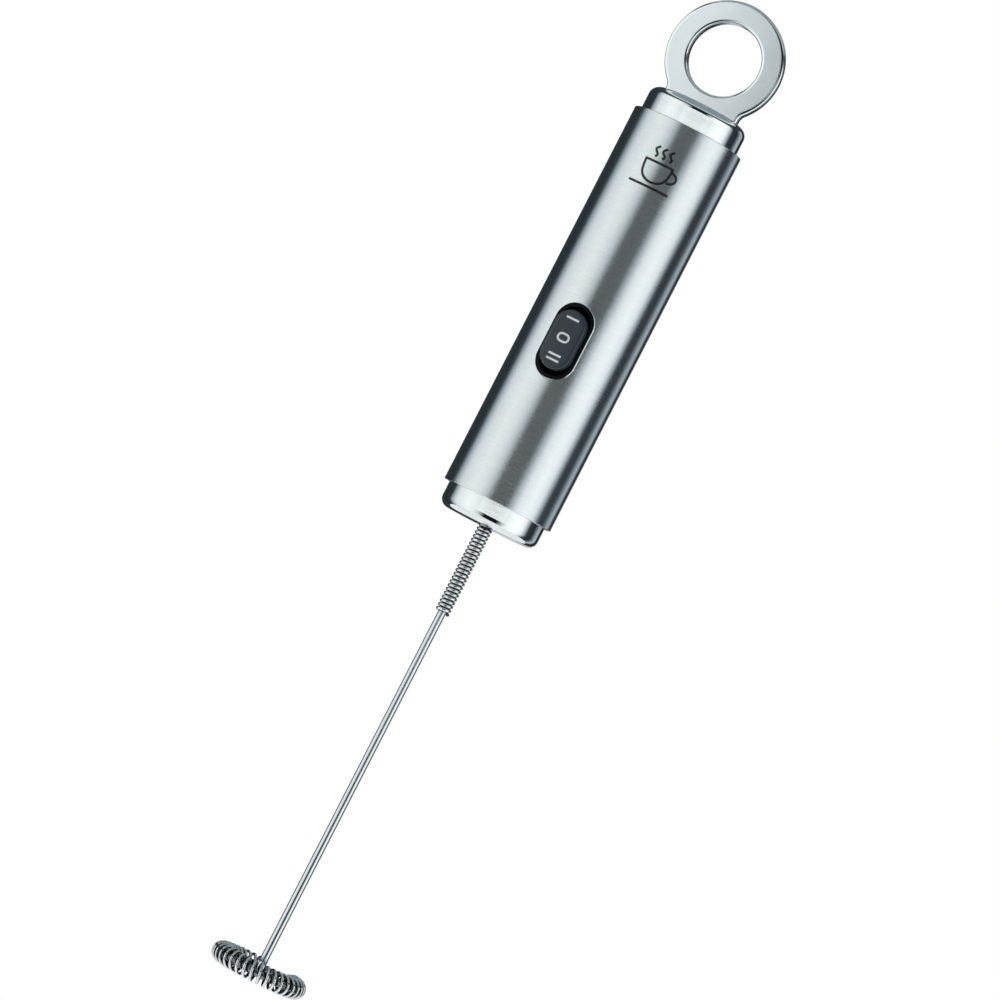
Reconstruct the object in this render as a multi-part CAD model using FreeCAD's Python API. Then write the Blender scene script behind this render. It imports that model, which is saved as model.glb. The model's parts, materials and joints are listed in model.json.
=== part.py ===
import FreeCAD, Part
import math
import os

# Hand-held battery milk frother, in millimetres.
# +Z runs up the shaft axis from the whisk to the hanging ring, and the rocker switch faces -Y.
# The origin is the centre of the hanging ring's hole.

Vector = FreeCAD.Vector
PARTS_FOLDER = "parts"
Z_AXIS = Vector(0, 0, 1)
Y_AXIS = Vector(0, 1, 0)
X_AXIS = Vector(1, 0, 0)

# ---------------------------------------------------------------- driving dimensions
# Handle tube: brushed stainless steel, with one window for the switch.
TUBE_OD = 33.0
TUBE_WALL = 0.8
TUBE_EDGE_ROUND = 0.2
WINDOW_LENGTH = 22.6
WINDOW_WIDTH = 11.4
WINDOW_GAP = 0.7  # battery housing's underside to the window's top end
LEAD_ROOM = 1.9  # window's bottom end to the motor's rear
NOSE_DEPTH = 5.3  # how far the nose piece stands inside the tube

# Polished end caps, a little narrower than the tube.
CAP_OD = 29.6
CAP_WALL = 0.8
CAP_EDGE_ROUND = 2.7
TOP_CAP_PROUD = 7.8
BOTTOM_CAP_PROUD = 6.9
CAP_TUCK = 1.0  # how far each cap's rim goes inside the tube

# Hanging ring: a flat plate with a short tab that stands on the top cap.
RING_OD = 34.0
RING_HOLE = 21.0
RING_THICKNESS = 4.0
RING_EDGE_ROUND = 0.9
RING_RISE = 15.0  # cap's top to the middle of the hole
TAB_WIDTH = 22.8
TAB_FILLET = 3.0
RING_SCREW_SPREAD = 7.0
RING_SCREW_GRIP = 5.0

# AA cells (IEC LR6), side by side.
CELL_D = 14.5
CELL_LENGTH = 50.5
NUB_D = 5.5
NUB_HEIGHT = 1.3
CELL_GAP = 0.3
CELL_CLEARANCE = 0.15
CELL_SPRING_SPACE = 3.0
CELL_NUB_PROUD = 1.2  # left cell's nub above the battery housing's neck
CELL_RIM_ROUND = 0.4
NUB_ROUND = 0.3
CELL_SPRING_R = 3.2
CELL_SPRING_WIRE = 0.8
CELL_SPRING_TURNS = 2
CAP_SPRING_R = 2.4
CAP_SPRING_WIRE = 0.7
CAP_SPRING_TURNS = 2.5
CONTACT_SHEET = 0.4
CONTACT_BUMP = 1.0
CONTACT_BUMP_D = 4.0
CONTACT_STRIP_LENGTH = 21.6
CONTACT_STRIP_WIDTH = 6.0
RIGHT_PAD_BUMP = 0.5
BAY_FLOOR = 1.0
DISC_D = 24.8
DISC_THICKNESS = 2.0
DISC_LIP = 0.5
INSERT_ROOF = 2.0
CRADLE_PLATE = 2.2
CRADLE_ROOF = 2.0

# Rocker switch, three positions.
ROCKER_LENGTH = 17.5
ROCKER_WIDTH = 9.2
ROCKER_PROUD = 2.3
ROCKER_EDGE_ROUND = 0.5
ROCKER_SWING = 8.0
ROCKER_FACE_DEPTH = 3.8
ROCKER_HUB_R = 2.2
ROCKER_HUB_WIDTH = 8.8
ROCKER_PIVOT_DEPTH = 4.5  # tube's outer surface to the pivot pin
ROCKER_PIN_D = 1.6
SWITCH_WELL_DEPTH = 9.0
SWITCH_FLOOR = 1.5
SWITCH_RIM = 0.9
SWITCH_SUNK = 0.3  # the rim below the tube's outer surface, all round
MARK_LINE = 0.6
MARK_WIDTH = 3.8
MARK_HEIGHT = 2.8
MARK_DEPTH = 0.25
MARK_LOW_RISE = 6.3  # rocker's middle to the mark "I"
MARK_OFF_RISE = 0.5
MARK_HIGH_RISES = (-4.7, -6.2)
PLUNGER_D = 2.4
PLUNGER_NOSE_D = 1.4
PLUNGER_SPRING_WIRE = 0.3
PLUNGER_SPRING_TURNS = 4.5
BLADE_LENGTH = 14.0
BLADE_WIDTH = 3.0
BLADE_THICKNESS = 0.3
BLADE_BEAD_R = 0.5  # the round bead across the blade that it rocks on
BLADE_SWING = 0.625 * ROCKER_SWING
BLADE_RISE = 1.2  # switch floor to the middle of the blade
CONTACT_SPREAD = 5.5
CONTACT_D = 2.0

# Motor: round can, three-pole armature.
MOTOR_D = 24.0
MOTOR_LENGTH = 27.5
MOTOR_WALL = 0.8
MOTOR_FRONT = 1.0
MOTOR_END_CAP = 2.5
MOTOR_SHAFT_D = 2.0
MOTOR_BOSS_D = 6.0
MOTOR_BOSS = 1.5
MAGNET_THICKNESS = 1.9
MAGNET_LENGTH = 18.0
AIR_GAP = 0.4
STACK_LENGTH = 14.0
MOTOR_SCREW_SPREAD = 8.0

# Drive line below the motor.
COUPLING_D = 6.0
COUPLING_LENGTH = 6.0
SPINDLE_LENGTH = 12.0
SHAFT_D = 2.4
SPRING_WIRE_D = 0.95
SPRING_PITCH = 1.18
SPRING_EXPOSED = 27.1
SHAFT_IN_SPRING = 12.5

# Whisk: one wire bent into a ring, with a fine coil round the ring.
WHISK_DROP = 137.9  # bottom cap to the ring's plane
WHISK_OD = 28.7
COIL_D = 6.1
COIL_WIRE_D = 0.85
COIL_TURNS = 33
COIL_GAP_ANGLE = 39.0
POINTS_PER_TURN = 16
WHISK_BEND = 3.2
WHISK_HOOK = 2.6
WHISK_END_ANGLE = 11.0
WHISK_TURN = 16.0  # the arm's angle from +Y at rest

# Screws.
SCREW_M25 = 2.5
SCREW_M2 = 2.0
HEAD_M25 = (4.6, 1.7)
HEAD_M2 = (3.4, 1.3)
HEAD_EDGE_ROUND = 0.25
RECESS_DEPTH_SHARE = 0.55  # of the head's height
RECESS_RADIUS_SHARE = 0.17  # of the head's diameter
GRUB_SOCKET_R = 0.45
GRUB_SOCKET_DEPTH = 0.8

# Bayonet between the top cap's insert and the battery housing.
BAYONET_LIFT = 5.0
BAYONET_TURN = 60.0
LUG_D = 1.8
LUG_REACH = 1.4
LUG_REST_ANGLE = 60.0
SKIRT_WALL = 0.6
SKIRT_CLEARANCE = 0.2
NECK_TOP = 2.6
SKIRT_BOTTOM = 8.6
GASKET_THICKNESS = 0.4

# Clearances.
SLIP = 0.1  # pieces pushed into one another
RUN = 0.05  # a shaft that turns in a hole
PRESS = 0.02  # a pin held in a hole
FREE = 0.25  # pieces that only pass each other

# Switch and motor details.
TERMINAL_TAIL_WIDTH = 1.8
TERMINAL_TAIL_THICKNESS = 0.6
TERMINAL_TAIL_LENGTH = 1.6
TERMINAL_SLOT = 2.4
TERMINAL_SLOT_HEIGHT = 1.6
ROCKER_SKIN = 1.2  # left above the plunger's bore
PIN_GAP = 0.6  # plunger's bore to each pin's inner end
PIN_END_WALL = 0.3
CAN_EDGE_ROUND = 0.8
END_CAP_EDGE_ROUND = 0.6
END_CAP_RIM = 2.0
END_CAP_RIM_WALL = 1.35
END_CAP_SKIN = 0.5
MAGNET_SPACING = 5.0
TAG_WIDTH = 3.0
TAG_THICKNESS = 0.5
TAG_LENGTH = 3.5  # above the motor's rear
TAG_SLOT_ROOM = 0.1
BRUSH_WIDTH = 1.8
BRUSH_LENGTH = 1.8
BRUSH_ARM_THICKNESS = 0.4
POLE_HUB_R = 3.0
POLE_SHOE = 1.4
POLE_GAP = 2.2
POLES = 3
WINDING_INNER_R = 3.6
WINDING_WIDTH = 6.0
SLIT_WIDTH = 0.3
SLIT_FLOOR_R = 1.6
COUPLING_CHAMFER = 0.4
SPINDLE_CHAMFER = 0.3
SHAFT_CHAMFER = 0.2
SHAFT_REAR_GAP = 0.8  # motor shaft's rear end below the end cap's face

# Contacts and wiring.
TAB_SLOT = 3.0
TAB_THICKNESS = 0.5
LEAD_D = 1.2
RESISTOR_D = 2.4
RESISTOR_LENGTH = 6.4
RESISTOR_EDGE_ROUND = 0.5
RESISTOR_LEG_R = 0.3
RESISTOR_GAP = 0.6
LEG_SPREAD = 1.2  # each leg's bend beyond the outer terminals
RIVET_R = 0.6
BAY_BRIDGE_WIDTH = 4.0  # the opening between the two cell bores

# ---------------------------------------------------------------- derived sizes
TUBE_R = TUBE_OD / 2
BORE_R = TUBE_R - TUBE_WALL
CHASSIS_R = BORE_R - SLIP
CAP_R = CAP_OD / 2
CAP_BORE_R = CAP_R - CAP_WALL
CELL_X = (CELL_D + CELL_GAP) / 2
CELL_BORE_R = CELL_D / 2 + CELL_CLEARANCE
SPRING_R = SHAFT_D / 2 + SPRING_WIRE_D + RUN
COIL_CENTRE_R = (WHISK_OD - COIL_D) / 2
MOTOR_R = MOTOR_D / 2

# Levels, as heights on Z.
CAP_TOP_Z = -RING_RISE
TUBE_TOP_Z = CAP_TOP_Z - TOP_CAP_PROUD


def below_top(depth):
    """The height that lies this far below the tube's top end."""
    return TUBE_TOP_Z - depth


# Cap and cell stack, from the top down.
INSERT_TOP_Z = CAP_TOP_Z - CAP_WALL - PRESS
FLANGE_TOP_Z = below_top(CAP_TUCK + SLIP)
NECK_TOP_Z = below_top(NECK_TOP)
SKIRT_ROOF_Z = NECK_TOP_Z + FREE
SKIRT_BOTTOM_Z = below_top(SKIRT_BOTTOM)
SHOULDER_Z = SKIRT_BOTTOM_Z - GASKET_THICKNESS - RUN
LEFT_CELL_TOP_Z = NECK_TOP_Z + CELL_NUB_PROUD
PLATE_BOTTOM_Z = LEFT_CELL_TOP_Z + CONTACT_BUMP
PLATE_TOP_Z = PLATE_BOTTOM_Z + CONTACT_SHEET
DISC_TOP_Z = PLATE_TOP_Z + DISC_THICKNESS
LEFT_CELL_BOTTOM_Z = LEFT_CELL_TOP_Z - CELL_LENGTH
FLOOR_PLATE_Z = LEFT_CELL_BOTTOM_Z - CELL_SPRING_SPACE
RIGHT_CELL_BOTTOM_Z = FLOOR_PLATE_Z + RIGHT_PAD_BUMP
RIGHT_CELL_TOP_Z = RIGHT_CELL_BOTTOM_Z + CELL_LENGTH
BAY_FLOOR_Z = FLOOR_PLATE_Z - CONTACT_SHEET
HOUSING_BOTTOM_Z = BAY_FLOOR_Z - BAY_FLOOR

# Window, motor stack and the tube's bottom end, on down.
WINDOW_Z = HOUSING_BOTTOM_Z - WINDOW_GAP - WINDOW_LENGTH / 2
MOTOR_REAR_Z = WINDOW_Z - WINDOW_LENGTH / 2 - LEAD_ROOM
MOTOR_FRONT_Z = MOTOR_REAR_Z - MOTOR_LENGTH
CRADLE_BOTTOM_Z = MOTOR_FRONT_Z - CRADLE_PLATE
NOSE_TOP_Z = CRADLE_BOTTOM_Z
TUBE_BOTTOM_Z = NOSE_TOP_Z - NOSE_DEPTH
CAP_BOTTOM_Z = TUBE_BOTTOM_Z - BOTTOM_CAP_PROUD
WHISK_Z = CAP_BOTTOM_Z - WHISK_DROP
CAN_TOP_Z = MOTOR_REAR_Z - MOTOR_END_CAP
CRADLE_TOP_Z = HOUSING_BOTTOM_Z
CRADLE_POCKET_TOP_Z = CRADLE_TOP_Z - CRADLE_ROOF
NOSE_FLANGE_Z = TUBE_BOTTOM_Z + CAP_TUCK + SLIP
NOSE_BOTTOM_Z = CAP_BOTTOM_Z + CAP_WALL + PRESS
COUPLING_TOP_Z = MOTOR_FRONT_Z - MOTOR_BOSS - 1.5
COUPLING_BOTTOM_Z = COUPLING_TOP_Z - COUPLING_LENGTH
SPINDLE_BOTTOM_Z = COUPLING_BOTTOM_Z - SPINDLE_LENGTH
SPRING_BOTTOM_Z = CAP_BOTTOM_Z - SPRING_EXPOSED
SPRING_TOP_Z = COUPLING_BOTTOM_Z - SLIP
SHAFT_TOP_Z = SPRING_BOTTOM_Z + SHAFT_IN_SPRING

# Switch, measured inwards from the tube's front.
PIVOT_Y = -TUBE_R + ROCKER_PIVOT_DEPTH
ROCKER_FACE_Y = -TUBE_R - ROCKER_PROUD
SWITCH_FLOOR_Y = -TUBE_R + SWITCH_WELL_DEPTH
SWITCH_BACK_Y = SWITCH_FLOOR_Y + SWITCH_FLOOR
SWITCH_LENGTH = WINDOW_LENGTH - 2 * SLIP
SWITCH_WIDTH = WINDOW_WIDTH - 2 * SLIP
BLADE_Y = SWITCH_FLOOR_Y - BLADE_RISE
POCKET_Y = SWITCH_BACK_Y + SLIP
POCKET_WALL = 1.2
LEAD_SPACE_Y = POCKET_Y + POCKET_WALL
TERMINAL_END_Y = LEAD_SPACE_Y + TERMINAL_TAIL_LENGTH

# Cap insert and housing neck.
SKIRT_R = BORE_R - SKIRT_CLEARANCE
SKIRT_BORE_R = SKIRT_R - SKIRT_WALL
NECK_R = SKIRT_BORE_R - FREE
DISC_R = DISC_D / 2
LUG_Z = SKIRT_BOTTOM_Z + LUG_D / 2 + 0.3

# Motor's inside.
CAN_BORE_R = MOTOR_R - MOTOR_WALL
MAGNET_BORE_R = CAN_BORE_R - MAGNET_THICKNESS
ARMATURE_R = MAGNET_BORE_R - AIR_GAP
WINDING_OVERHANG = 2.5
WINDING_END_GAP = 1.3
STACK_Z = MOTOR_FRONT_Z + MOTOR_FRONT + WINDING_END_GAP + WINDING_OVERHANG + STACK_LENGTH / 2
WINDING_TOP_Z = STACK_Z + STACK_LENGTH / 2 + WINDING_OVERHANG
COMMUTATOR_R = 2.6
COMMUTATOR_BOTTOM_Z = WINDING_TOP_Z + 0.2
COMMUTATOR_TOP_Z = CAN_TOP_Z - FREE
MOTOR_TERMINAL_X = 7.0
BUSH_R = 2.0
BRUSH_BACK_X = COMMUTATOR_R + BRUSH_LENGTH
BRUSH_Z = (COMMUTATOR_BOTTOM_Z + COMMUTATOR_TOP_Z) / 2
POLE_NECK = 3.2
POLE_ANGLE = 360 / POLES
SHAFT_END_Z = COUPLING_TOP_Z - 4.0
GRUB_Z = COUPLING_TOP_Z - 2.2

# Lower end.
EXIT_R = SPRING_R + 2 * FREE
GUIDE_OUTER_R = SPRING_R + 1.4
GUIDE_TOP_Z = COUPLING_BOTTOM_Z - 0.6
NOSE_SCREW_Y = 9.0
NOSE_SCREW_SEAT_Z = NOSE_BOTTOM_Z + HEAD_M2[1] + SLIP
CHASSIS_SCREW_X = 8.0
CHASSIS_SCREW_Y = 11.0

# Contacts and the rocker's pins.
TAB_END_Z = CRADLE_POCKET_TOP_Z - 2.5
ROCKER_PIN_END = SWITCH_WIDTH / 2 - PIN_END_WALL
PLUNGER_TOP_Y = PIVOT_Y + 0.6


# ---------------------------------------------------------------- helpers
def cylinder(radius, z_low, z_high, x=0.0, y=0.0):
    return Part.makeCylinder(radius, z_high - z_low, Vector(x, y, z_low), Z_AXIS)


def sleeve(outer, inner, z_low, z_high, x=0.0, y=0.0):
    return cylinder(outer, z_low, z_high, x, y).cut(cylinder(inner, z_low, z_high, x, y))


def block(x_span, y_span, z_span):
    size = [high - low for low, high in (x_span, y_span, z_span)]
    return Part.makeBox(*size, Vector(x_span[0], y_span[0], z_span[0]))


def y_cylinder(radius, y_low, y_high, x, z):
    return Part.makeCylinder(radius, y_high - y_low, Vector(x, y_low, z), Y_AXIS)


def x_cylinder(radius, x_low, x_high, y, z):
    return Part.makeCylinder(radius, x_high - x_low, Vector(x_low, y, z), X_AXIS)


def slot_prism(length, width, y_low, y_high, z_middle):
    """A straight-sided, round-ended prism that runs along Y, with its long side on Z."""
    half = (length - width) / 2
    middle = block((-width / 2, width / 2), (y_low, y_high), (z_middle - half, z_middle + half))
    ends = [y_cylinder(width / 2, y_low, y_high, 0, z_middle + side * half) for side in (-1, 1)]
    return middle.fuse(ends).removeSplitter()


def turned(shape, degrees, x=0.0, y=0.0):
    copy = shape.copy()
    copy.rotate(Vector(x, y, 0), Z_AXIS, degrees)
    return copy


def joined(first, *others):
    return first.fuse(list(others)).removeSplitter()


def edges_at(shape, height, tolerance=1e-4):
    """The edges that lie wholly at one height on Z."""
    return [
        edge
        for edge in shape.Edges
        if abs(edge.BoundBox.ZMin - height) < tolerance and abs(edge.BoundBox.ZMax - height) < tolerance
    ]


def edges_on_y(shape, depth, tolerance=1e-4):
    """The edges that lie wholly at one place on Y."""
    return [
        edge
        for edge in shape.Edges
        if abs(edge.BoundBox.YMin - depth) < tolerance and abs(edge.BoundBox.YMax - depth) < tolerance
    ]


def round_profile(centre, direction, radius):
    return Part.Wire(Part.Circle(centre, direction, radius).toShape())


def swept(path, start, direction, radius):
    """A round wire of one radius along a path."""
    return path.makePipeShell([round_profile(start, direction, radius)], True, False)


def wound_wire(point, count, radius):
    """A round wire along a smooth curve through point(0) to point(1), in count steps."""
    points = [point(index / count) for index in range(count + 1)]
    curve = Part.BSplineCurve()
    curve.interpolate(points)
    path = Part.Wire([curve.toShape()])
    direction = curve.tangent(curve.FirstParameter)[0]
    return path.makePipeShell([round_profile(points[0], direction, radius)], True, True)


def helix_wire(radius, wire_radius, turns, z_low, z_high):
    """A round wire wound right-handed up Z; radius is to the wire's middle."""
    def point(share):
        angle = 2 * math.pi * turns * share
        return Vector(radius * math.cos(angle), radius * math.sin(angle), z_low + (z_high - z_low) * share)

    return wound_wire(point, round(turns * POINTS_PER_TURN), wire_radius)


def rounded_path(points):
    """Straight runs joined by tangent arcs, each arc as large as its two runs allow."""
    edges = []
    last = points[0]
    for before, corner, after in zip(points, points[1:], points[2:]):
        back = before.sub(corner)
        ahead = after.sub(corner)
        shorter = min(back.Length, ahead.Length)
        trim = 0.45 * shorter
        back.normalize()
        ahead.normalize()
        start = corner.add(back * trim)
        end = corner.add(ahead * trim)
        half_angle = back.getAngle(ahead) / 2
        reach = trim / math.cos(half_angle)
        radius = trim * math.tan(half_angle)
        inward = back.add(ahead).normalize()
        middle = corner.add(inward * (reach - radius))
        edges.append(Part.LineSegment(last, start).toShape())
        edges.append(Part.Arc(start, middle, end).toShape())
        last = end
    edges.append(Part.LineSegment(last, points[-1]).toShape())
    return Part.Wire(edges)


def lead(points, diameter):
    """An insulated lead along corner points."""
    corners = [Vector(*point) for point in points]
    direction = corners[1].sub(corners[0])
    return swept(rounded_path(corners), corners[0], direction, diameter / 2)


def screw(size, head, z_seat, z_tip, x, y, head_side):
    """A plain screw on Z: head_side is 1 if its head is above its seat, and -1 if below."""
    head_d, head_height = head
    low, high = sorted((z_seat, z_seat + head_side * head_height))
    body = cylinder(head_d / 2, low, high, x, y)
    body = body.makeFillet(HEAD_EDGE_ROUND, edges_at(body, z_seat + head_side * head_height))
    shank = cylinder(size / 2, *sorted((z_seat, z_tip)), x, y)
    recess_floor = z_seat + head_side * head_height * (1 - RECESS_DEPTH_SHARE)
    recess_span = sorted((recess_floor, z_seat + head_side * 2 * head_height))
    recess = cylinder(head_d * RECESS_RADIUS_SHARE, *recess_span, x, y)
    return joined(body, shank).cut(recess)


# ---------------------------------------------------------------- handle
def handle_sleeve():
    tube = sleeve(TUBE_R, BORE_R, TUBE_BOTTOM_Z, TUBE_TOP_Z)
    ends = edges_at(tube, TUBE_TOP_Z) + edges_at(tube, TUBE_BOTTOM_Z)
    tube = tube.makeFillet(TUBE_EDGE_ROUND, ends)
    window = slot_prism(WINDOW_LENGTH, WINDOW_WIDTH, -TUBE_R - 1, -TUBE_R / 2, WINDOW_Z)
    return tube.cut(window)


def cap_shell(z_closed, z_open):
    """A polished cap, closed at one end, with a rounded edge of even wall."""
    low, high = sorted((z_closed, z_open))
    inner_z = z_closed - CAP_WALL if z_closed > z_open else z_closed + CAP_WALL
    outside = cylinder(CAP_R, low, high)
    outside = outside.makeFillet(CAP_EDGE_ROUND, edges_at(outside, z_closed))
    reach = sorted((inner_z, z_open + (z_open - z_closed)))
    inside = cylinder(CAP_BORE_R, *reach)
    inside = inside.makeFillet(CAP_EDGE_ROUND - CAP_WALL, edges_at(inside, inner_z))
    return outside.cut(inside)


def bottom_cap():
    shell = cap_shell(CAP_BOTTOM_Z, TUBE_BOTTOM_Z + CAP_TUCK)
    return shell.cut(cylinder(EXIT_R, CAP_BOTTOM_Z - 1, CAP_BOTTOM_Z + 2))


def nose_piece():
    plug = cylinder(CAP_BORE_R - PRESS, NOSE_BOTTOM_Z, NOSE_FLANGE_Z + 1)
    plug = plug.makeFillet(CAP_EDGE_ROUND - CAP_WALL + SLIP, edges_at(plug, NOSE_BOTTOM_Z))
    flange = cylinder(CHASSIS_R, NOSE_FLANGE_Z, NOSE_TOP_Z)
    body = joined(plug, flange)
    body = body.cut(cylinder(COUPLING_D / 2 + 2 * FREE, GUIDE_TOP_Z, NOSE_TOP_Z + 1))
    body = body.cut(cylinder(GUIDE_OUTER_R + PRESS, NOSE_BOTTOM_Z - 1, GUIDE_TOP_Z + 1))
    for x in (-MOTOR_SCREW_SPREAD, MOTOR_SCREW_SPREAD):
        body = body.cut(cylinder(HEAD_M2[0] / 2 + FREE, NOSE_TOP_Z - HEAD_M2[1] - FREE, NOSE_TOP_Z + 1, x))
    for y in (-NOSE_SCREW_Y, NOSE_SCREW_Y):
        body = body.cut(cylinder(SCREW_M2 / 2 + RUN, NOSE_BOTTOM_Z - 1, NOSE_TOP_Z + 1, 0, y))
        body = body.cut(cylinder(HEAD_M2[0] / 2 + SLIP, NOSE_BOTTOM_Z - 1, NOSE_SCREW_SEAT_Z, 0, y))
    return body


def guide_bush():
    return sleeve(GUIDE_OUTER_R, SPRING_R + FREE, NOSE_BOTTOM_Z, GUIDE_TOP_Z)


def nose_screws():
    tip = MOTOR_FRONT_Z - 0.4
    places = (-NOSE_SCREW_Y, NOSE_SCREW_Y)
    screws = [screw(SCREW_M2, HEAD_M2, NOSE_SCREW_SEAT_Z, tip, 0, y, -1) for y in places]
    return Part.makeCompound(screws)


def motor_cradle():
    body = cylinder(CHASSIS_R, CRADLE_BOTTOM_Z, CRADLE_TOP_Z)
    side = MOTOR_R + SLIP
    body = body.cut(cylinder(side, MOTOR_FRONT_Z, MOTOR_REAR_Z + SLIP))
    body = body.cut(block((-side, side), (0, TUBE_R), (MOTOR_FRONT_Z, CRADLE_POCKET_TOP_Z)))
    body = body.cut(block((-side, side), (LEAD_SPACE_Y, SLIP), (MOTOR_REAR_Z, CRADLE_POCKET_TOP_Z)))
    pocket_length = SWITCH_LENGTH + 2 * SLIP
    pocket_width = SWITCH_WIDTH + 2 * SLIP
    body = body.cut(slot_prism(pocket_length, pocket_width, -TUBE_R, POCKET_Y, WINDOW_Z))
    for rise in (-CONTACT_SPREAD, 0, CONTACT_SPREAD):
        z = WINDOW_Z + rise
        z_span = (z - TERMINAL_SLOT_HEIGHT / 2, z + TERMINAL_SLOT_HEIGHT / 2)
        x_span = (-TERMINAL_SLOT / 2, TERMINAL_SLOT / 2)
        body = body.cut(block(x_span, (POCKET_Y - 1, LEAD_SPACE_Y + 1), z_span))
    body = body.cut(cylinder(MOTOR_BOSS_D / 2 + SLIP, CRADLE_BOTTOM_Z - 1, MOTOR_FRONT_Z + 1))
    for x in (-MOTOR_SCREW_SPREAD, MOTOR_SCREW_SPREAD):
        body = body.cut(cylinder(SCREW_M2 / 2 + RUN, CRADLE_BOTTOM_Z - 1, MOTOR_FRONT_Z + 1, x))
    for y in (-NOSE_SCREW_Y, NOSE_SCREW_Y):
        body = body.cut(cylinder(SCREW_M2 / 2 + RUN, CRADLE_BOTTOM_Z - 1, MOTOR_FRONT_Z - 0.3, 0, y))
    for x in (-CHASSIS_SCREW_X, CHASSIS_SCREW_X):
        hole = cylinder(SCREW_M2 / 2 + RUN, CRADLE_POCKET_TOP_Z - 1, CRADLE_TOP_Z + 1, x, CHASSIS_SCREW_Y)
        body = body.cut(hole)
    for x in (-CELL_X, CELL_X):
        slot = (CRADLE_POCKET_TOP_Z - 1, CRADLE_TOP_Z + 1)
        body = body.cut(block((x - TAB_SLOT / 2, x + TAB_SLOT / 2), (-TAB_SLOT / 2, TAB_SLOT / 2), slot))
    return body


def chassis_screws():
    tip = HOUSING_BOTTOM_Z + 4
    places = (-CHASSIS_SCREW_X, CHASSIS_SCREW_X)
    screws = [screw(SCREW_M2, HEAD_M2, CRADLE_POCKET_TOP_Z, tip, x, CHASSIS_SCREW_Y, -1) for x in places]
    return Part.makeCompound(screws)


def bayonet_groove(start_angle):
    """The helical groove that one lug rides in, from its seat up and out of the neck's top."""
    lead_per_turn = BAYONET_LIFT * 360 / BAYONET_TURN
    margin_angle = 7.0
    overrun_angle = 22.0
    swing = BAYONET_TURN + margin_angle + overrun_angle
    floor_r = SKIRT_BORE_R - LUG_REACH - FREE
    middle_r = (floor_r + SKIRT_BORE_R) / 2
    half_height = LUG_D / 2 + 1.5 * FREE
    half_width = (SKIRT_BORE_R - floor_r) / 2
    path = Part.Wire(Part.makeHelix(lead_per_turn, lead_per_turn * swing / 360, middle_r).Edges)
    low_in = Vector(middle_r - half_width, 0, -half_height)
    low_out = Vector(middle_r + half_width, 0, -half_height)
    high_out = Vector(middle_r + half_width, 0, half_height)
    high_in = Vector(middle_r - half_width, 0, half_height)
    profile = Part.makePolygon([low_in, low_out, high_out, high_in, low_in])
    groove = path.makePipeShell([profile], True, True)
    groove.translate(Vector(0, 0, LUG_Z - lead_per_turn * margin_angle / 360))
    return turned(groove, start_angle - margin_angle)


def battery_housing():
    body = cylinder(CHASSIS_R, HOUSING_BOTTOM_Z, SHOULDER_Z)
    body = joined(body, cylinder(NECK_R, SHOULDER_Z - 1, NECK_TOP_Z))
    for x in (-CELL_X, CELL_X):
        body = body.cut(cylinder(CELL_BORE_R, BAY_FLOOR_Z, TUBE_TOP_Z, x))
        slot = (HOUSING_BOTTOM_Z - 1, BAY_FLOOR_Z + 1)
        body = body.cut(block((x - TAB_SLOT / 2, x + TAB_SLOT / 2), (-TAB_SLOT / 2, TAB_SLOT / 2), slot))
    half = BAY_BRIDGE_WIDTH / 2
    body = body.cut(block((-CELL_X, CELL_X), (-half, half), (BAY_FLOOR_Z, TUBE_TOP_Z)))
    for angle in (LUG_REST_ANGLE, LUG_REST_ANGLE + 180):
        body = body.cut(bayonet_groove(angle))
    for x in (-CHASSIS_SCREW_X, CHASSIS_SCREW_X):
        hole = cylinder(SCREW_M2 / 2 + RUN, HOUSING_BOTTOM_Z - 1, HOUSING_BOTTOM_Z + 4.2, x, CHASSIS_SCREW_Y)
        body = body.cut(hole)
    return body


def cap_gasket():
    return sleeve(CHASSIS_R - SLIP, NECK_R + SLIP, SHOULDER_Z, SHOULDER_Z + GASKET_THICKNESS)


# ---------------------------------------------------------------- cells and contacts
def battery_cell(x, z_low, nub_side):
    """An AA cell, its nub at the top where nub_side is 1, and at the bottom where it is -1."""
    can_length = CELL_LENGTH - NUB_HEIGHT
    can_low = z_low if nub_side > 0 else z_low + NUB_HEIGHT
    can = cylinder(CELL_D / 2, can_low, can_low + can_length, x)
    rims = edges_at(can, can_low) + edges_at(can, can_low + can_length)
    can = can.makeFillet(CELL_RIM_ROUND, rims)
    nub_low = can_low + can_length - 0.5 if nub_side > 0 else z_low
    nub = cylinder(NUB_D / 2, nub_low, nub_low + NUB_HEIGHT + 0.5, x)
    nub_end = z_low + CELL_LENGTH if nub_side > 0 else z_low
    nub = nub.makeFillet(NUB_ROUND, edges_at(nub, nub_end))
    return joined(can, nub)


def contact_tab(x):
    """A contact's tail, down through the bay floor into the lead space."""
    half = TAB_SLOT / 2 - SLIP
    y_span = (-TAB_THICKNESS / 2, TAB_THICKNESS / 2)
    return block((x - half, x + half), y_span, (TAB_END_Z, BAY_FLOOR_Z + CONTACT_SHEET / 2))


def negative_contact():
    plate = cylinder(CELL_D / 2 - 1, BAY_FLOOR_Z, FLOOR_PLATE_Z, -CELL_X)
    wire = CELL_SPRING_WIRE / 2
    turns_low = FLOOR_PLATE_Z
    turns_high = LEFT_CELL_BOTTOM_Z - wire
    coil = helix_wire(CELL_SPRING_R, wire, CELL_SPRING_TURNS, turns_low, turns_high)
    coil.translate(Vector(-CELL_X, 0, 0))
    return joined(plate, contact_tab(-CELL_X), coil)


def positive_contact():
    plate = cylinder(CELL_D / 2 - 1, BAY_FLOOR_Z, FLOOR_PLATE_Z, CELL_X)
    pad = cylinder(CONTACT_BUMP_D / 2, FLOOR_PLATE_Z - 0.1, RIGHT_CELL_BOTTOM_Z, CELL_X)
    return joined(plate, pad, contact_tab(CELL_X))


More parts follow.
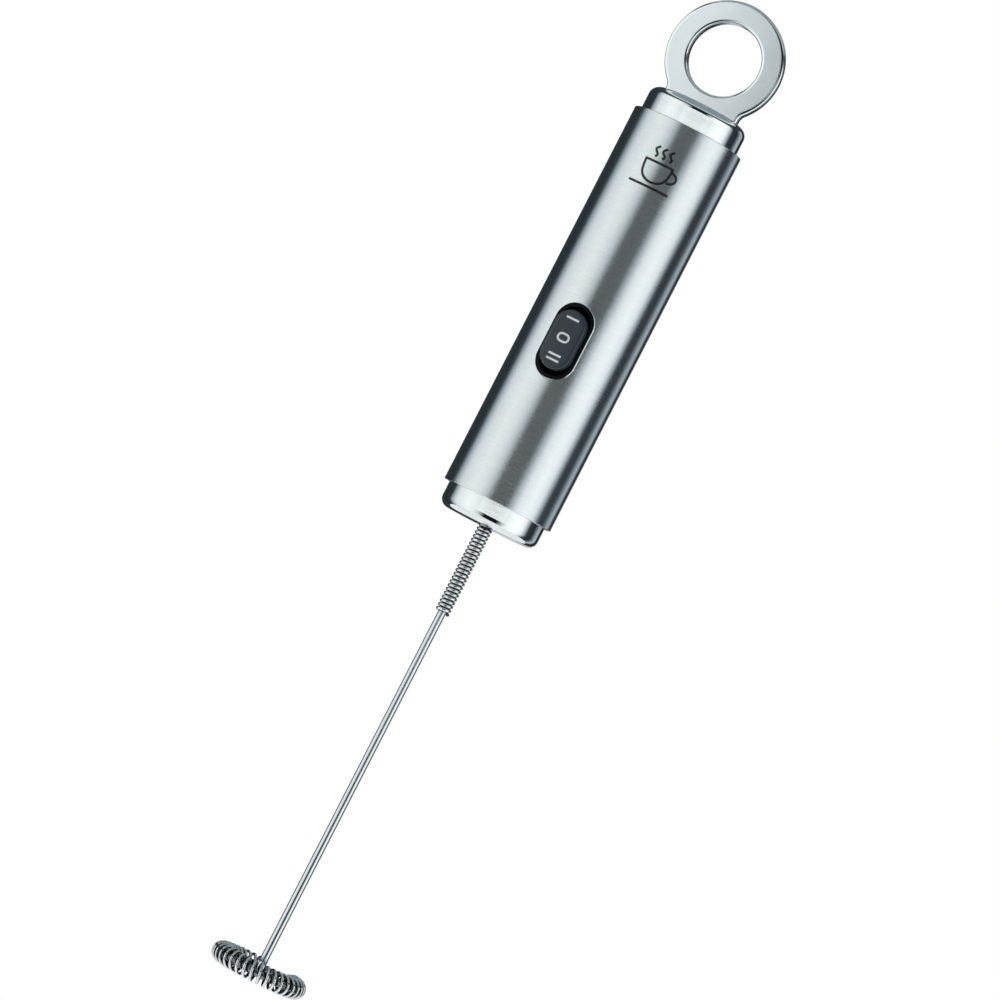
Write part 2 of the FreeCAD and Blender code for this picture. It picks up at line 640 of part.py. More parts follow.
# ---------------------------------------------------------------- switch
def switch_housing():
    body = slot_prism(SWITCH_LENGTH, SWITCH_WIDTH, -TUBE_R, SWITCH_BACK_Y, WINDOW_Z)
    reach = SWITCH_LENGTH
    body = body.common(cylinder(TUBE_R - SWITCH_SUNK, WINDOW_Z - reach, WINDOW_Z + reach))
    well_length = SWITCH_LENGTH - 2 * SWITCH_RIM
    well_width = SWITCH_WIDTH - 2 * SWITCH_RIM
    body = body.cut(slot_prism(well_length, well_width, -TUBE_R - 1, SWITCH_FLOOR_Y, WINDOW_Z))
    reach = ROCKER_PIN_END + RUN
    body = body.cut(x_cylinder(ROCKER_PIN_D / 2 + RUN, -reach, reach, PIVOT_Y, WINDOW_Z))
    for rise in (-CONTACT_SPREAD, 0, CONTACT_SPREAD):
        body = body.cut(y_cylinder(RIVET_R + RUN, SWITCH_FLOOR_Y - 1, SWITCH_BACK_Y + 1, 0, WINDOW_Z + rise))
    return body


def switch_terminal(rise, head_height):
    z = WINDOW_Z + rise
    head = y_cylinder(CONTACT_D / 2, SWITCH_FLOOR_Y - head_height, SWITCH_FLOOR_Y, 0, z)
    rivet = y_cylinder(RIVET_R, SWITCH_FLOOR_Y - 0.1, SWITCH_BACK_Y + 0.1, 0, z)
    x_span = (-TERMINAL_TAIL_WIDTH / 2, TERMINAL_TAIL_WIDTH / 2)
    z_span = (z - TERMINAL_TAIL_THICKNESS / 2, z + TERMINAL_TAIL_THICKNESS / 2)
    tail = block(x_span, (SWITCH_BACK_Y, TERMINAL_END_Y), z_span)
    return joined(head, rivet, tail)


def switch_terminals():
    blade_drop = (CONTACT_SPREAD + CONTACT_D / 2) * math.sin(math.radians(BLADE_SWING))
    side_head = BLADE_RISE - BLADE_THICKNESS / 2 - blade_drop - RUN
    middle_head = BLADE_RISE - BLADE_BEAD_R - RUN
    heads = ((-CONTACT_SPREAD, side_head), (0, middle_head), (CONTACT_SPREAD, side_head))
    return Part.makeCompound([switch_terminal(rise, height) for rise, height in heads])


def mark_bar(rise):
    z = WINDOW_Z + rise
    y_span = (ROCKER_FACE_Y, ROCKER_FACE_Y + MARK_DEPTH)
    return block((-MARK_WIDTH / 2, MARK_WIDTH / 2), y_span, (z - MARK_LINE / 2, z + MARK_LINE / 2))


def mark_oval(width, height, rise):
    """A stadium inlay that lies across the rocker."""
    middle = (width - height) / 2
    z = WINDOW_Z + rise
    y_low = ROCKER_FACE_Y
    y_high = ROCKER_FACE_Y + MARK_DEPTH
    bar = block((-middle, middle), (y_low, y_high), (z - height / 2, z + height / 2))
    ends = [y_cylinder(height / 2, y_low, y_high, side * middle, z) for side in (-1, 1)]
    return bar.fuse(ends).removeSplitter()


def rocker_marks():
    outer = mark_oval(MARK_WIDTH, MARK_HEIGHT, MARK_OFF_RISE)
    inner = mark_oval(MARK_WIDTH - 2 * MARK_LINE, MARK_HEIGHT - 2 * MARK_LINE, MARK_OFF_RISE)
    bars = [mark_bar(rise) for rise in (MARK_LOW_RISE,) + MARK_HIGH_RISES]
    return Part.makeCompound(bars + [outer.cut(inner)])


def rocker_button():
    y_back = ROCKER_FACE_Y + ROCKER_FACE_DEPTH
    body = slot_prism(ROCKER_LENGTH, ROCKER_WIDTH, ROCKER_FACE_Y, y_back, WINDOW_Z)
    body = body.makeFillet(ROCKER_EDGE_ROUND, edges_on_y(body, ROCKER_FACE_Y))
    half = ROCKER_HUB_WIDTH / 2
    z_span = (WINDOW_Z - ROCKER_HUB_R, WINDOW_Z + ROCKER_HUB_R)
    web = block((-half, half), (y_back - 0.5, PIVOT_Y), z_span)
    hub = x_cylinder(ROCKER_HUB_R, -half, half, PIVOT_Y, WINDOW_Z)
    body = joined(body, web, hub)
    body = body.cut(x_cylinder(ROCKER_PIN_D / 2 + PRESS, -half - 1, half + 1, PIVOT_Y, WINDOW_Z))
    bore_top = y_back - ROCKER_SKIN
    body = body.cut(y_cylinder(PLUNGER_D / 2 + RUN, bore_top, PIVOT_Y + ROCKER_HUB_R + 1, 0, WINDOW_Z))
    for mark in rocker_marks().Solids:
        body = body.cut(mark)
    return body


def rocker_pins():
    start = PLUNGER_D / 2 + PIN_GAP
    right = x_cylinder(ROCKER_PIN_D / 2, start, ROCKER_PIN_END, PIVOT_Y, WINDOW_Z)
    left = x_cylinder(ROCKER_PIN_D / 2, -ROCKER_PIN_END, -start, PIVOT_Y, WINDOW_Z)
    return Part.makeCompound([left, right])


def rocker_plunger():
    head = y_cylinder(PLUNGER_D / 2, PLUNGER_TOP_Y, PIVOT_Y + ROCKER_HUB_R - 0.1, 0, WINDOW_Z)
    tip_y = BLADE_Y - BLADE_BEAD_R - RUN
    nose = y_cylinder(PLUNGER_NOSE_D / 2, PIVOT_Y + ROCKER_HUB_R - 0.2, tip_y, 0, WINDOW_Z)
    nose = nose.makeFillet(PLUNGER_NOSE_D / 2 - 0.2, edges_on_y(nose, tip_y))
    return joined(head, nose)


def plunger_spring():
    wire = PLUNGER_SPRING_WIRE / 2
    radius = PLUNGER_D / 2 - wire - RUN
    bore_top = ROCKER_FACE_Y + ROCKER_FACE_DEPTH - ROCKER_SKIN
    length = PLUNGER_TOP_Y - bore_top - 2 * wire
    coil = helix_wire(radius, wire, PLUNGER_SPRING_TURNS, 0, length)
    coil.rotate(Vector(0, 0, 0), X_AXIS, -90)
    coil.translate(Vector(0, bore_top + wire, WINDOW_Z))
    return coil


def contact_blade():
    """A see-saw strip of brass with a round bead across its middle."""
    half = BLADE_THICKNESS / 2
    z_span = (WINDOW_Z - BLADE_LENGTH / 2, WINDOW_Z + BLADE_LENGTH / 2)
    blade = block((-BLADE_WIDTH / 2, BLADE_WIDTH / 2), (BLADE_Y - half, BLADE_Y + half), z_span)
    return joined(blade, x_cylinder(BLADE_BEAD_R, -BLADE_WIDTH / 2, BLADE_WIDTH / 2, BLADE_Y, WINDOW_Z))


# ---------------------------------------------------------------- motor
def motor_can():
    body = cylinder(MOTOR_R, MOTOR_FRONT_Z, CAN_TOP_Z)
    body = body.makeFillet(CAN_EDGE_ROUND, edges_at(body, MOTOR_FRONT_Z))
    boss = cylinder(MOTOR_BOSS_D / 2, MOTOR_FRONT_Z - MOTOR_BOSS, MOTOR_FRONT_Z + 0.5)
    body = joined(body, boss)
    body = body.cut(cylinder(CAN_BORE_R, MOTOR_FRONT_Z + MOTOR_FRONT, CAN_TOP_Z + 1))
    body = body.cut(cylinder(BUSH_R, MOTOR_FRONT_Z - 3, MOTOR_FRONT_Z + 3))
    for x in (-MOTOR_SCREW_SPREAD, MOTOR_SCREW_SPREAD):
        body = body.cut(cylinder(SCREW_M2 / 2 + RUN, MOTOR_FRONT_Z - 1, MOTOR_FRONT_Z + 2, x))
    return body


def motor_magnets():
    ring = sleeve(CAN_BORE_R - PRESS, MAGNET_BORE_R, STACK_Z - MAGNET_LENGTH / 2, STACK_Z + MAGNET_LENGTH / 2)
    z_span = (STACK_Z - MAGNET_LENGTH, STACK_Z + MAGNET_LENGTH)
    gap = block((-MOTOR_R, MOTOR_R), (-MAGNET_SPACING / 2, MAGNET_SPACING / 2), z_span)
    return Part.makeCompound(ring.cut(gap).Solids)


def motor_end_cap():
    body = cylinder(MOTOR_R, CAN_TOP_Z, MOTOR_REAR_Z)
    body = body.makeFillet(END_CAP_EDGE_ROUND, edges_at(body, MOTOR_REAR_Z))
    rim_r = CAN_BORE_R - RUN
    rim = sleeve(rim_r, rim_r - END_CAP_RIM_WALL, CAN_TOP_Z - END_CAP_RIM, CAN_TOP_Z + END_CAP_SKIN)
    body = joined(body, rim)
    body = body.cut(cylinder(BUSH_R, CAN_TOP_Z - 1, MOTOR_REAR_Z - END_CAP_SKIN))
    slot_x = (TAG_THICKNESS + TAG_SLOT_ROOM) / 2
    slot_y = TAG_WIDTH / 2 + TAG_SLOT_ROOM
    for x in (-MOTOR_TERMINAL_X, MOTOR_TERMINAL_X):
        slot = (CAN_TOP_Z - 1, MOTOR_REAR_Z + 1)
        body = body.cut(block((x - slot_x, x + slot_x), (-slot_y, slot_y), slot))
    return body


def motor_bushes():
    bore = MOTOR_SHAFT_D / 2 + RUN
    front = sleeve(BUSH_R - PRESS, bore, MOTOR_FRONT_Z - MOTOR_BOSS, MOTOR_FRONT_Z + MOTOR_FRONT)
    rear = sleeve(BUSH_R - PRESS, bore, CAN_TOP_Z, MOTOR_REAR_Z - END_CAP_SKIN)
    return Part.makeCompound([front, rear])


def motor_terminals():
    """Two tags through the end cap, each with the arm that carries its brush."""
    tags = []
    for side in (-1, 1):
        x = side * MOTOR_TERMINAL_X
        x_span = (x - TAG_THICKNESS / 2, x + TAG_THICKNESS / 2)
        tag = block(x_span, (-TAG_WIDTH / 2, TAG_WIDTH / 2), (BRUSH_Z - 1, MOTOR_REAR_Z + TAG_LENGTH))
        reach = sorted((side * BRUSH_BACK_X, x))
        z_span = (BRUSH_Z - BRUSH_ARM_THICKNESS / 2, BRUSH_Z + BRUSH_ARM_THICKNESS / 2)
        arm = block(reach, (-BRUSH_WIDTH / 2, BRUSH_WIDTH / 2), z_span)
        tags.append(joined(tag, arm))
    return Part.makeCompound(tags)


def motor_brushes():
    brushes = []
    for side in (-1, 1):
        reach = sorted((side * (COMMUTATOR_R + RUN), side * BRUSH_BACK_X))
        half = BRUSH_WIDTH / 2
        brush = block(reach, (-half, half), (BRUSH_Z - half, BRUSH_Z + half))
        brushes.append(brush)
    return Part.makeCompound(brushes)


def motor_screws():
    tip = MOTOR_FRONT_Z + MOTOR_FRONT + 0.2
    places = (-MOTOR_SCREW_SPREAD, MOTOR_SCREW_SPREAD)
    return Part.makeCompound([screw(SCREW_M2, HEAD_M2, CRADLE_BOTTOM_Z, tip, x, 0, -1) for x in places])


def motor_shaft():
    top = MOTOR_REAR_Z - SHAFT_REAR_GAP
    shaft = cylinder(MOTOR_SHAFT_D / 2, SHAFT_END_Z, top)
    return shaft.makeChamfer(SHAFT_CHAMFER, edges_at(shaft, top) + edges_at(shaft, SHAFT_END_Z))


def pole_pieces(z_low, z_high):
    """Three necks and shoes round the hub, as one stack of laminations."""
    hub = cylinder(POLE_HUB_R, z_low, z_high)
    shoe_ring = sleeve(ARMATURE_R, ARMATURE_R - POLE_SHOE, z_low, z_high)
    neck = block((0, ARMATURE_R - POLE_SHOE / 2), (-POLE_NECK / 2, POLE_NECK / 2), (z_low, z_high))
    necks = [turned(neck, POLE_ANGLE * index) for index in range(POLES)]
    gap = block((-ARMATURE_R - 1, 0), (-POLE_GAP / 2, POLE_GAP / 2), (z_low - 1, z_high + 1))
    gaps = [turned(gap, POLE_ANGLE * index) for index in range(POLES)]
    shoes = shoe_ring.cut(gaps)
    return joined(hub, shoes, *necks)


def armature_core():
    stack = pole_pieces(STACK_Z - STACK_LENGTH / 2, STACK_Z + STACK_LENGTH / 2)
    return stack.cut(cylinder(MOTOR_SHAFT_D / 2 + PRESS, STACK_Z - 20, STACK_Z + 20))


def armature_windings():
    half_height = STACK_LENGTH / 2 + WINDING_OVERHANG
    z_span = (STACK_Z - half_height, STACK_Z + half_height)
    shell = cylinder(ARMATURE_R - POLE_SHOE - SLIP, *z_span)
    coil = block((WINDING_INNER_R, ARMATURE_R), (-WINDING_WIDTH / 2, WINDING_WIDTH / 2), z_span)
    neck_half = POLE_NECK / 2 + SLIP
    stack_half = STACK_LENGTH / 2 + SLIP
    neck = block((0, ARMATURE_R + 1), (-neck_half, neck_half), (STACK_Z - stack_half, STACK_Z + stack_half))
    coil = coil.common(shell).cut(neck)
    return Part.makeCompound([turned(coil, POLE_ANGLE * index) for index in range(POLES)])


def commutator():
    drum = sleeve(COMMUTATOR_R, MOTOR_SHAFT_D / 2 + PRESS, COMMUTATOR_BOTTOM_Z, COMMUTATOR_TOP_Z)
    z_span = (COMMUTATOR_BOTTOM_Z - 1, COMMUTATOR_TOP_Z + 1)
    slit = block((SLIT_FLOOR_R, COMMUTATOR_R + 1), (-SLIT_WIDTH / 2, SLIT_WIDTH / 2), z_span)
    slits = [turned(slit, POLE_ANGLE * (index + 0.5)) for index in range(POLES)]
    return drum.cut(slits)


# ---------------------------------------------------------------- drive line and whisk
def shaft_coupling():
    hub = cylinder(COUPLING_D / 2, COUPLING_BOTTOM_Z, COUPLING_TOP_Z)
    hub = hub.makeChamfer(COUPLING_CHAMFER, edges_at(hub, COUPLING_BOTTOM_Z) + edges_at(hub, COUPLING_TOP_Z))
    spindle = cylinder(SHAFT_D / 2, SPINDLE_BOTTOM_Z, COUPLING_BOTTOM_Z + 1)
    spindle = spindle.makeChamfer(SPINDLE_CHAMFER, edges_at(spindle, SPINDLE_BOTTOM_Z))
    body = joined(hub, spindle)
    body = body.cut(cylinder(MOTOR_SHAFT_D / 2 + PRESS, SHAFT_END_Z - SLIP, COUPLING_TOP_Z + 1))
    return body.cut(y_cylinder(SCREW_M2 / 2 + PRESS, 0, COUPLING_D, 0, GRUB_Z))


def grub_screw():
    low = MOTOR_SHAFT_D / 2 + PRESS
    high = COUPLING_D / 2 - SLIP
    body = y_cylinder(SCREW_M2 / 2, low, high, 0, GRUB_Z)
    return body.cut(y_cylinder(GRUB_SOCKET_R, high - GRUB_SOCKET_DEPTH, high + 1, 0, GRUB_Z))


def drive_spring():
    """A close-wound spring, tight on the spindle above and on the whisk's shaft below."""
    wire = SPRING_WIRE_D / 2
    low = SPRING_BOTTOM_Z + wire
    high = SPRING_TOP_Z - wire
    return helix_wire(SPRING_R - wire, wire, (high - low) / SPRING_PITCH, low, high)


def whisk_shaft():
    """One wire: straight down the axis, out along an arm, and round in a ring."""
    ring_r = COIL_CENTRE_R
    top = Vector(0, 0, SHAFT_TOP_Z)
    bend_top = Vector(0, 0, WHISK_Z + WHISK_BEND)
    quarter = math.sqrt(0.5)
    bend_mid = Vector(WHISK_BEND * (1 - quarter), 0, WHISK_Z + WHISK_BEND * (1 - quarter))
    bend_end = Vector(WHISK_BEND, 0, WHISK_Z)
    # The hook is an arc tangent to the arm and, from inside, to the ring.
    hook_x = math.sqrt((ring_r - WHISK_HOOK) ** 2 - WHISK_HOOK ** 2)
    hook_centre = Vector(hook_x, WHISK_HOOK, WHISK_Z)
    hook_start = Vector(hook_x, 0, WHISK_Z)
    hook_angle = math.atan2(WHISK_HOOK, hook_x)
    hook_end = Vector(ring_r * math.cos(hook_angle), ring_r * math.sin(hook_angle), WHISK_Z)
    middle_angle = (hook_angle - math.pi / 2) / 2
    hook_mid = hook_centre.add(Vector(math.cos(middle_angle), math.sin(middle_angle), 0) * WHISK_HOOK)
    end_angle = 2 * math.pi - math.radians(WHISK_END_ANGLE)
    half_angle = (hook_angle + end_angle) / 2
    ring_mid = Vector(ring_r * math.cos(half_angle), ring_r * math.sin(half_angle), WHISK_Z)
    ring_end = Vector(ring_r * math.cos(end_angle), ring_r * math.sin(end_angle), WHISK_Z)
    edges = [
        Part.LineSegment(top, bend_top).toShape(),
        Part.Arc(bend_top, bend_mid, bend_end).toShape(),
        Part.LineSegment(bend_end, hook_start).toShape(),
        Part.Arc(hook_start, hook_mid, hook_end).toShape(),
        Part.Arc(hook_end, ring_mid, ring_end).toShape(),
    ]
    wire = swept(Part.Wire(edges), top, Vector(0, 0, -1), SHAFT_D / 2)
    return turned(wire, 90 - WHISK_TURN)


def coil_point(share):
    """A point on the coil's middle line, for a share of its length from 0 to 1."""
    closing = 0.6 / COIL_TURNS
    grip_r = SHAFT_D / 2 + COIL_WIRE_D / 2 + PRESS
    full_r = COIL_D / 2 - COIL_WIRE_D / 2
    rise = min(1.0, share / closing, (1 - share) / closing)
    small_r = grip_r + (full_r - grip_r) * (1 - math.cos(math.pi * rise)) / 2
    around = math.radians(COIL_GAP_ANGLE / 2 + (360 - COIL_GAP_ANGLE) * share)
    turn = 2 * math.pi * COIL_TURNS * share
    radial = COIL_CENTRE_R + small_r * math.cos(turn)
    return Vector(radial * math.cos(around), radial * math.sin(around), WHISK_Z - small_r * math.sin(turn))


def whisk_coil():
    """A fine wire wound round the ring, its two ends closed down onto the ring."""
    coil = wound_wire(coil_point, COIL_TURNS * POINTS_PER_TURN, COIL_WIRE_D / 2)
    return turned(coil, 90 - WHISK_TURN)


# ---------------------------------------------------------------- top cap
def top_cap():
    shell = cap_shell(CAP_TOP_Z, TUBE_TOP_Z - CAP_TUCK)
    for x in (-RING_SCREW_SPREAD, RING_SCREW_SPREAD):
        shell = shell.cut(cylinder(SCREW_M25 / 2 + SLIP, CAP_TOP_Z - 3, CAP_TOP_Z + 1, x))
    return shell


def cap_lug(angle):
    outer = SKIRT_BORE_R + SKIRT_WALL / 2
    lug = x_cylinder(LUG_D / 2, SKIRT_BORE_R - LUG_REACH, outer, 0, LUG_Z)
    return turned(lug, angle)


def cap_insert():
    """The plug inside the cap: a roof for the ring's screws, a seat for the disc, and a skirt with lugs."""
    plug = cylinder(CAP_BORE_R - PRESS, FLANGE_TOP_Z - 1, INSERT_TOP_Z)
    plug = plug.makeFillet(CAP_EDGE_ROUND - CAP_WALL + SLIP, edges_at(plug, INSERT_TOP_Z))
    flange = cylinder(SKIRT_R, SKIRT_BOTTOM_Z, FLANGE_TOP_Z)
    body = joined(plug, flange)
    body = body.cut(cylinder(SKIRT_BORE_R, SKIRT_BOTTOM_Z - 1, SKIRT_ROOF_Z))
    body = body.cut(cylinder(DISC_R - DISC_LIP, SKIRT_ROOF_Z - 1, PLATE_TOP_Z))
    body = body.cut(cylinder(DISC_R + SLIP, PLATE_TOP_Z - RUN, DISC_TOP_Z + RUN))
    body = body.cut(cylinder(DISC_R - 2, DISC_TOP_Z, INSERT_TOP_Z - INSERT_ROOF))
    for x in (-RING_SCREW_SPREAD, RING_SCREW_SPREAD):
        body = body.cut(cylinder(SCREW_M25 / 2 + SLIP, INSERT_TOP_Z - INSERT_ROOF - 1, INSERT_TOP_Z + 1, x))
    lugs = [cap_lug(angle) for angle in (LUG_REST_ANGLE, LUG_REST_ANGLE + 180)]
    return joined(body, *lugs)


def contact_disc():
    return cylinder(DISC_R, PLATE_TOP_Z, DISC_TOP_Z)


def cap_contact():
    """The strip that joins the two cells at the top, with a bump for the left cell's nub."""
    half = CONTACT_STRIP_LENGTH / 2
    side = CONTACT_STRIP_WIDTH / 2
    strip = block((-half, half), (-side, side), (PLATE_BOTTOM_Z, PLATE_TOP_Z))
    bump = cylinder(CONTACT_BUMP_D / 2, LEFT_CELL_TOP_Z, PLATE_BOTTOM_Z + 0.1, -CELL_X)
    return joined(strip, bump)


def cap_contact_spring():
    wire = CAP_SPRING_WIRE / 2
    low = RIGHT_CELL_TOP_Z + wire
    coil = helix_wire(CAP_SPRING_R, wire, CAP_SPRING_TURNS, low, PLATE_BOTTOM_Z - wire)
    coil.translate(Vector(CELL_X, 0, 0))
    return coil


def hanging_ring():
    """A flat ring with a tab whose sides run into the ring in hollow curves."""
    half = RING_THICKNESS / 2
    ring = y_cylinder(RING_OD / 2, -half, half, 0, 0)
    tab = block((-TAB_WIDTH / 2, TAB_WIDTH / 2), (-half, half), (CAP_TOP_Z, -RING_HOLE / 2))
    body = joined(ring, tab)
    body = body.cut(block((-RING_OD, RING_OD), (-RING_OD, RING_OD), (CAP_TOP_Z - RING_OD, CAP_TOP_Z)))
    corner_z = -math.sqrt((RING_OD / 2) ** 2 - (TAB_WIDTH / 2) ** 2)
    corners = []
    for edge in body.Edges:
        centre = edge.CenterOfMass
        on_corner = abs(abs(centre.x) - TAB_WIDTH / 2) < 0.01 and abs(centre.z - corner_z) < 0.01
        if on_corner:
            corners.append(edge)
    body = body.makeFillet(TAB_FILLET, corners)
    body = body.cut(y_cylinder(RING_HOLE / 2, -RING_OD, RING_OD, 0, 0))
    rims = []
    for edge in edges_on_y(body, -half) + edges_on_y(body, half):
        if edge.BoundBox.ZMax > CAP_TOP_Z + 0.1:
            rims.append(edge)
    body = body.makeFillet(RING_EDGE_ROUND, rims)
    for x in (-RING_SCREW_SPREAD, RING_SCREW_SPREAD):
        body = body.cut(cylinder(SCREW_M25 / 2 + RUN, CAP_TOP_Z - 1, CAP_TOP_Z + RING_SCREW_GRIP + SLIP, x))
    return body


def ring_screws():
    seat = INSERT_TOP_Z - INSERT_ROOF
    tip = CAP_TOP_Z + RING_SCREW_GRIP
    places = (-RING_SCREW_SPREAD, RING_SCREW_SPREAD)
    return Part.makeCompound([screw(SCREW_M25, HEAD_M25, seat, tip, x, 0, -1) for x in places])


# ---------------------------------------------------------------- wiring
def speed_resistor():
    """The resistor of the slow speed, between the two outer switch terminals."""
    y = TERMINAL_END_Y + RESISTOR_D / 2 + RESISTOR_GAP
    body = cylinder(RESISTOR_D / 2, WINDOW_Z - RESISTOR_LENGTH / 2, WINDOW_Z + RESISTOR_LENGTH / 2, 0, y)
    rims = edges_at(body, WINDOW_Z - RESISTOR_LENGTH / 2) + edges_at(body, WINDOW_Z + RESISTOR_LENGTH / 2)
    body = body.makeFillet(RESISTOR_EDGE_ROUND, rims)
    legs = []
    for side in (-1, 1):
        z_body = WINDOW_Z + side * (RESISTOR_LENGTH / 2 - 0.5)
        z_bend = WINDOW_Z + side * (CONTACT_SPREAD + LEG_SPREAD)
        legs.append(cylinder(RESISTOR_LEG_R, *sorted((z_body, z_bend)), 0, y))
        legs.append(y_cylinder(RESISTOR_LEG_R, TERMINAL_END_Y - 1.2, y, 0, z_bend))
    return joined(body, *legs)


def lead_positive():
    """From the right cell's contact to the middle switch terminal."""
    start = (CELL_X, 0.25 + LEAD_D / 2, TAB_END_Z + 0.8)
    route = [start, (CELL_X, 2.2, TAB_END_Z - 3.0), (4.6, 0.5, TAB_END_Z - 6.0)]
    route.append((1.0 + LEAD_D / 2, TERMINAL_END_Y - 0.7, WINDOW_Z))
    return lead(route, LEAD_D)


def lead_negative():
    """From the left cell's contact down to the motor's left tag."""
    start = (-CELL_X, 0.25 + LEAD_D / 2, TAB_END_Z + 0.8)
    route = [start, (-CELL_X - 0.5, 3.0, TAB_END_Z - 3.5), (-CELL_X - 1.2, 5.0, TAB_END_Z - 8.0)]
    route.append((-CELL_X - 0.6, 3.4, MOTOR_REAR_Z + 6.0))
    route.append((-MOTOR_TERMINAL_X - 0.3 - LEAD_D / 2, 0.6, MOTOR_REAR_Z + 2.0))
    return lead(route, LEAD_D)


def lead_motor():
    """From the lower switch terminal to the motor's right tag."""
    start = (1.0 + LEAD_D / 2, TERMINAL_END_Y - 0.8, WINDOW_Z - CONTACT_SPREAD)
    route = [start, (4.4, 1.6, WINDOW_Z - CONTACT_SPREAD + 0.6), (8.2, 3.4, WINDOW_Z - CONTACT_SPREAD - 1.4)]
    route.append((MOTOR_TERMINAL_X + 0.4 + LEAD_D / 2, 1.0, MOTOR_REAR_Z + 2.0))
    return lead(route, LEAD_D)


# ---------------------------------------------------------------- every node
NODES = {
    "handle_sleeve": handle_sleeve,
    "battery_housing": battery_housing,
    "motor_cradle": motor_cradle,
    "nose_piece": nose_piece,
    "bottom_cap": bottom_cap,
    "guide_bush": guide_bush,
    "nose_screws": nose_screws,
    "chassis_screws": chassis_screws,
    "cap_gasket": cap_gasket,
    "battery_cell_left": lambda: battery_cell(-CELL_X, LEFT_CELL_BOTTOM_Z, 1),
    "battery_cell_right": lambda: battery_cell(CELL_X, RIGHT_CELL_BOTTOM_Z, -1),
    "negative_contact": negative_contact,
    "positive_contact": positive_contact,
    "switch_housing": switch_housing,
    "switch_terminals": switch_terminals,
    "speed_resistor": speed_resistor,
    "lead_positive": lead_positive,
    "lead_negative": lead_negative,
    "lead_motor": lead_motor,
    "motor_can": motor_can,
    "motor_magnets": motor_magnets,
    "motor_end_cap": motor_end_cap,
    "motor_bushes": motor_bushes,
    "motor_terminals": motor_terminals,
    "motor_brushes": motor_brushes,
    "motor_screws": motor_screws,
    "rocker_button": rocker_button,
    "rocker_marks": rocker_marks,
    "rocker_pins": rocker_pins,
    "rocker_plunger": rocker_plunger,
    "plunger_spring": plunger_spring,
    "contact_blade": contact_blade,
    "motor_shaft": motor_shaft,
    "armature_core": armature_core,
    "armature_windings": armature_windings,
    "commutator": commutator,
    "shaft_coupling": shaft_coupling,
    "grub_screw": grub_screw,
    "drive_spring": drive_spring,
    "whisk_shaft": whisk_shaft,
    "whisk_coil": whisk_coil,
    "contact_disc": contact_disc,
    "cap_contact": cap_contact,
    "cap_contact_spring": cap_contact_spring,
    "top_cap": top_cap,
    "cap_insert": cap_insert,
    "hanging_ring": hanging_ring,
    "ring_screws": ring_screws,
}

os.makedirs(PARTS_FOLDER, exist_ok=True)
for name, make in NODES.items():
    shape = make()
    shape.exportStep(os.path.join(PARTS_FOLDER, name + ".step"))
    valid = shape.isValid()
    print(f"{name}: {len(shape.Solids)} solid(s), {shape.Volume:.1f} mm3, valid {valid}")
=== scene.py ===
import bpy
import json
import math
from mathutils import Matrix, Vector


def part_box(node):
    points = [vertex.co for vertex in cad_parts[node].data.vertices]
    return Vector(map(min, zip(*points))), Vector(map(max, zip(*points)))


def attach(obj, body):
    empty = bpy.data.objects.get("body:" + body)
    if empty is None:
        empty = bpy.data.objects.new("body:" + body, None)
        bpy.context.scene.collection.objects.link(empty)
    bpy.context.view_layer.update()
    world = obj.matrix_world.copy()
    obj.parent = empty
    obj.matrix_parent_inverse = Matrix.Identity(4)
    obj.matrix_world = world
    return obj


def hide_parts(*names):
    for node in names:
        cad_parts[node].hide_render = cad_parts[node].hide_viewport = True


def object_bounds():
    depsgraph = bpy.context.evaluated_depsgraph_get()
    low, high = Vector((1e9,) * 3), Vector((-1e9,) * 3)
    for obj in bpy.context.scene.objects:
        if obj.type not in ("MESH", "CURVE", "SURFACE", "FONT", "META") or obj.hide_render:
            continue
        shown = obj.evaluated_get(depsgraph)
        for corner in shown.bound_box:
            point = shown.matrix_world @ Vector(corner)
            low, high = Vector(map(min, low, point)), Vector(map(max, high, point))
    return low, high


# Battery milk frother in stainless steel, in the frame's own axes.
# +Z runs up the shaft axis to the hanging ring, and the rocker switch faces -Y.
# Shapes are drawn in millimetres and turned into metres when a piece is made.

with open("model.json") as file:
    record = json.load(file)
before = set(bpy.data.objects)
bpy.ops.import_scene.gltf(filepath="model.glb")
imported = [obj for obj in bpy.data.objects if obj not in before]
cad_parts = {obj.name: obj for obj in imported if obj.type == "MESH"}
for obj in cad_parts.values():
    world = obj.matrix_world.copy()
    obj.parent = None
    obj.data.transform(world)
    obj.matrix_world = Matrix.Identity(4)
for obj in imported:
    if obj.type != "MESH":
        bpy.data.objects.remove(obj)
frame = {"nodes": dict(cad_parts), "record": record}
cad_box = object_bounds()
nodes = frame["nodes"]
scene = bpy.context.scene
MM = 0.001
TINY = 1e-6

# ---------------------------------------------------------------- sizes, in millimetres
TUBE_R = 16.49
TUBE_BORE_R = 15.7
TUBE_TOP = -22.8
TUBE_BOTTOM = -139.3
TUBE_EDGE = 0.2
WINDOW_Z = -91.1
WINDOW_HALF_WIDTH = 5.7
WINDOW_STRAIGHT = 5.6  # half of the window's straight side
WINDOW_EDGE = 0.42  # the widest chamfer of the window's rim, at its right and lower side
WINDOW_EDGE_LEAST = 0.07
WINDOW_EDGE_SIDE = (0.85, -0.53)  # from the window's middle towards the chamfer's widest part
WINDOW_EDGE_SPREAD = 1.6
WINDOW_SLOPE = 0.38  # depth of that chamfer over its width

CAP_R = 14.8
CAP_WALL = 0.8
CAP_ROUND = 2.7
CAP_TOP = -15.0
CAP_BOTTOM = -146.2
CAP_TUCK = 1.0
RIM_ROUND = 0.12
EXIT_R = 2.7
EXIT_ROUND = 0.3

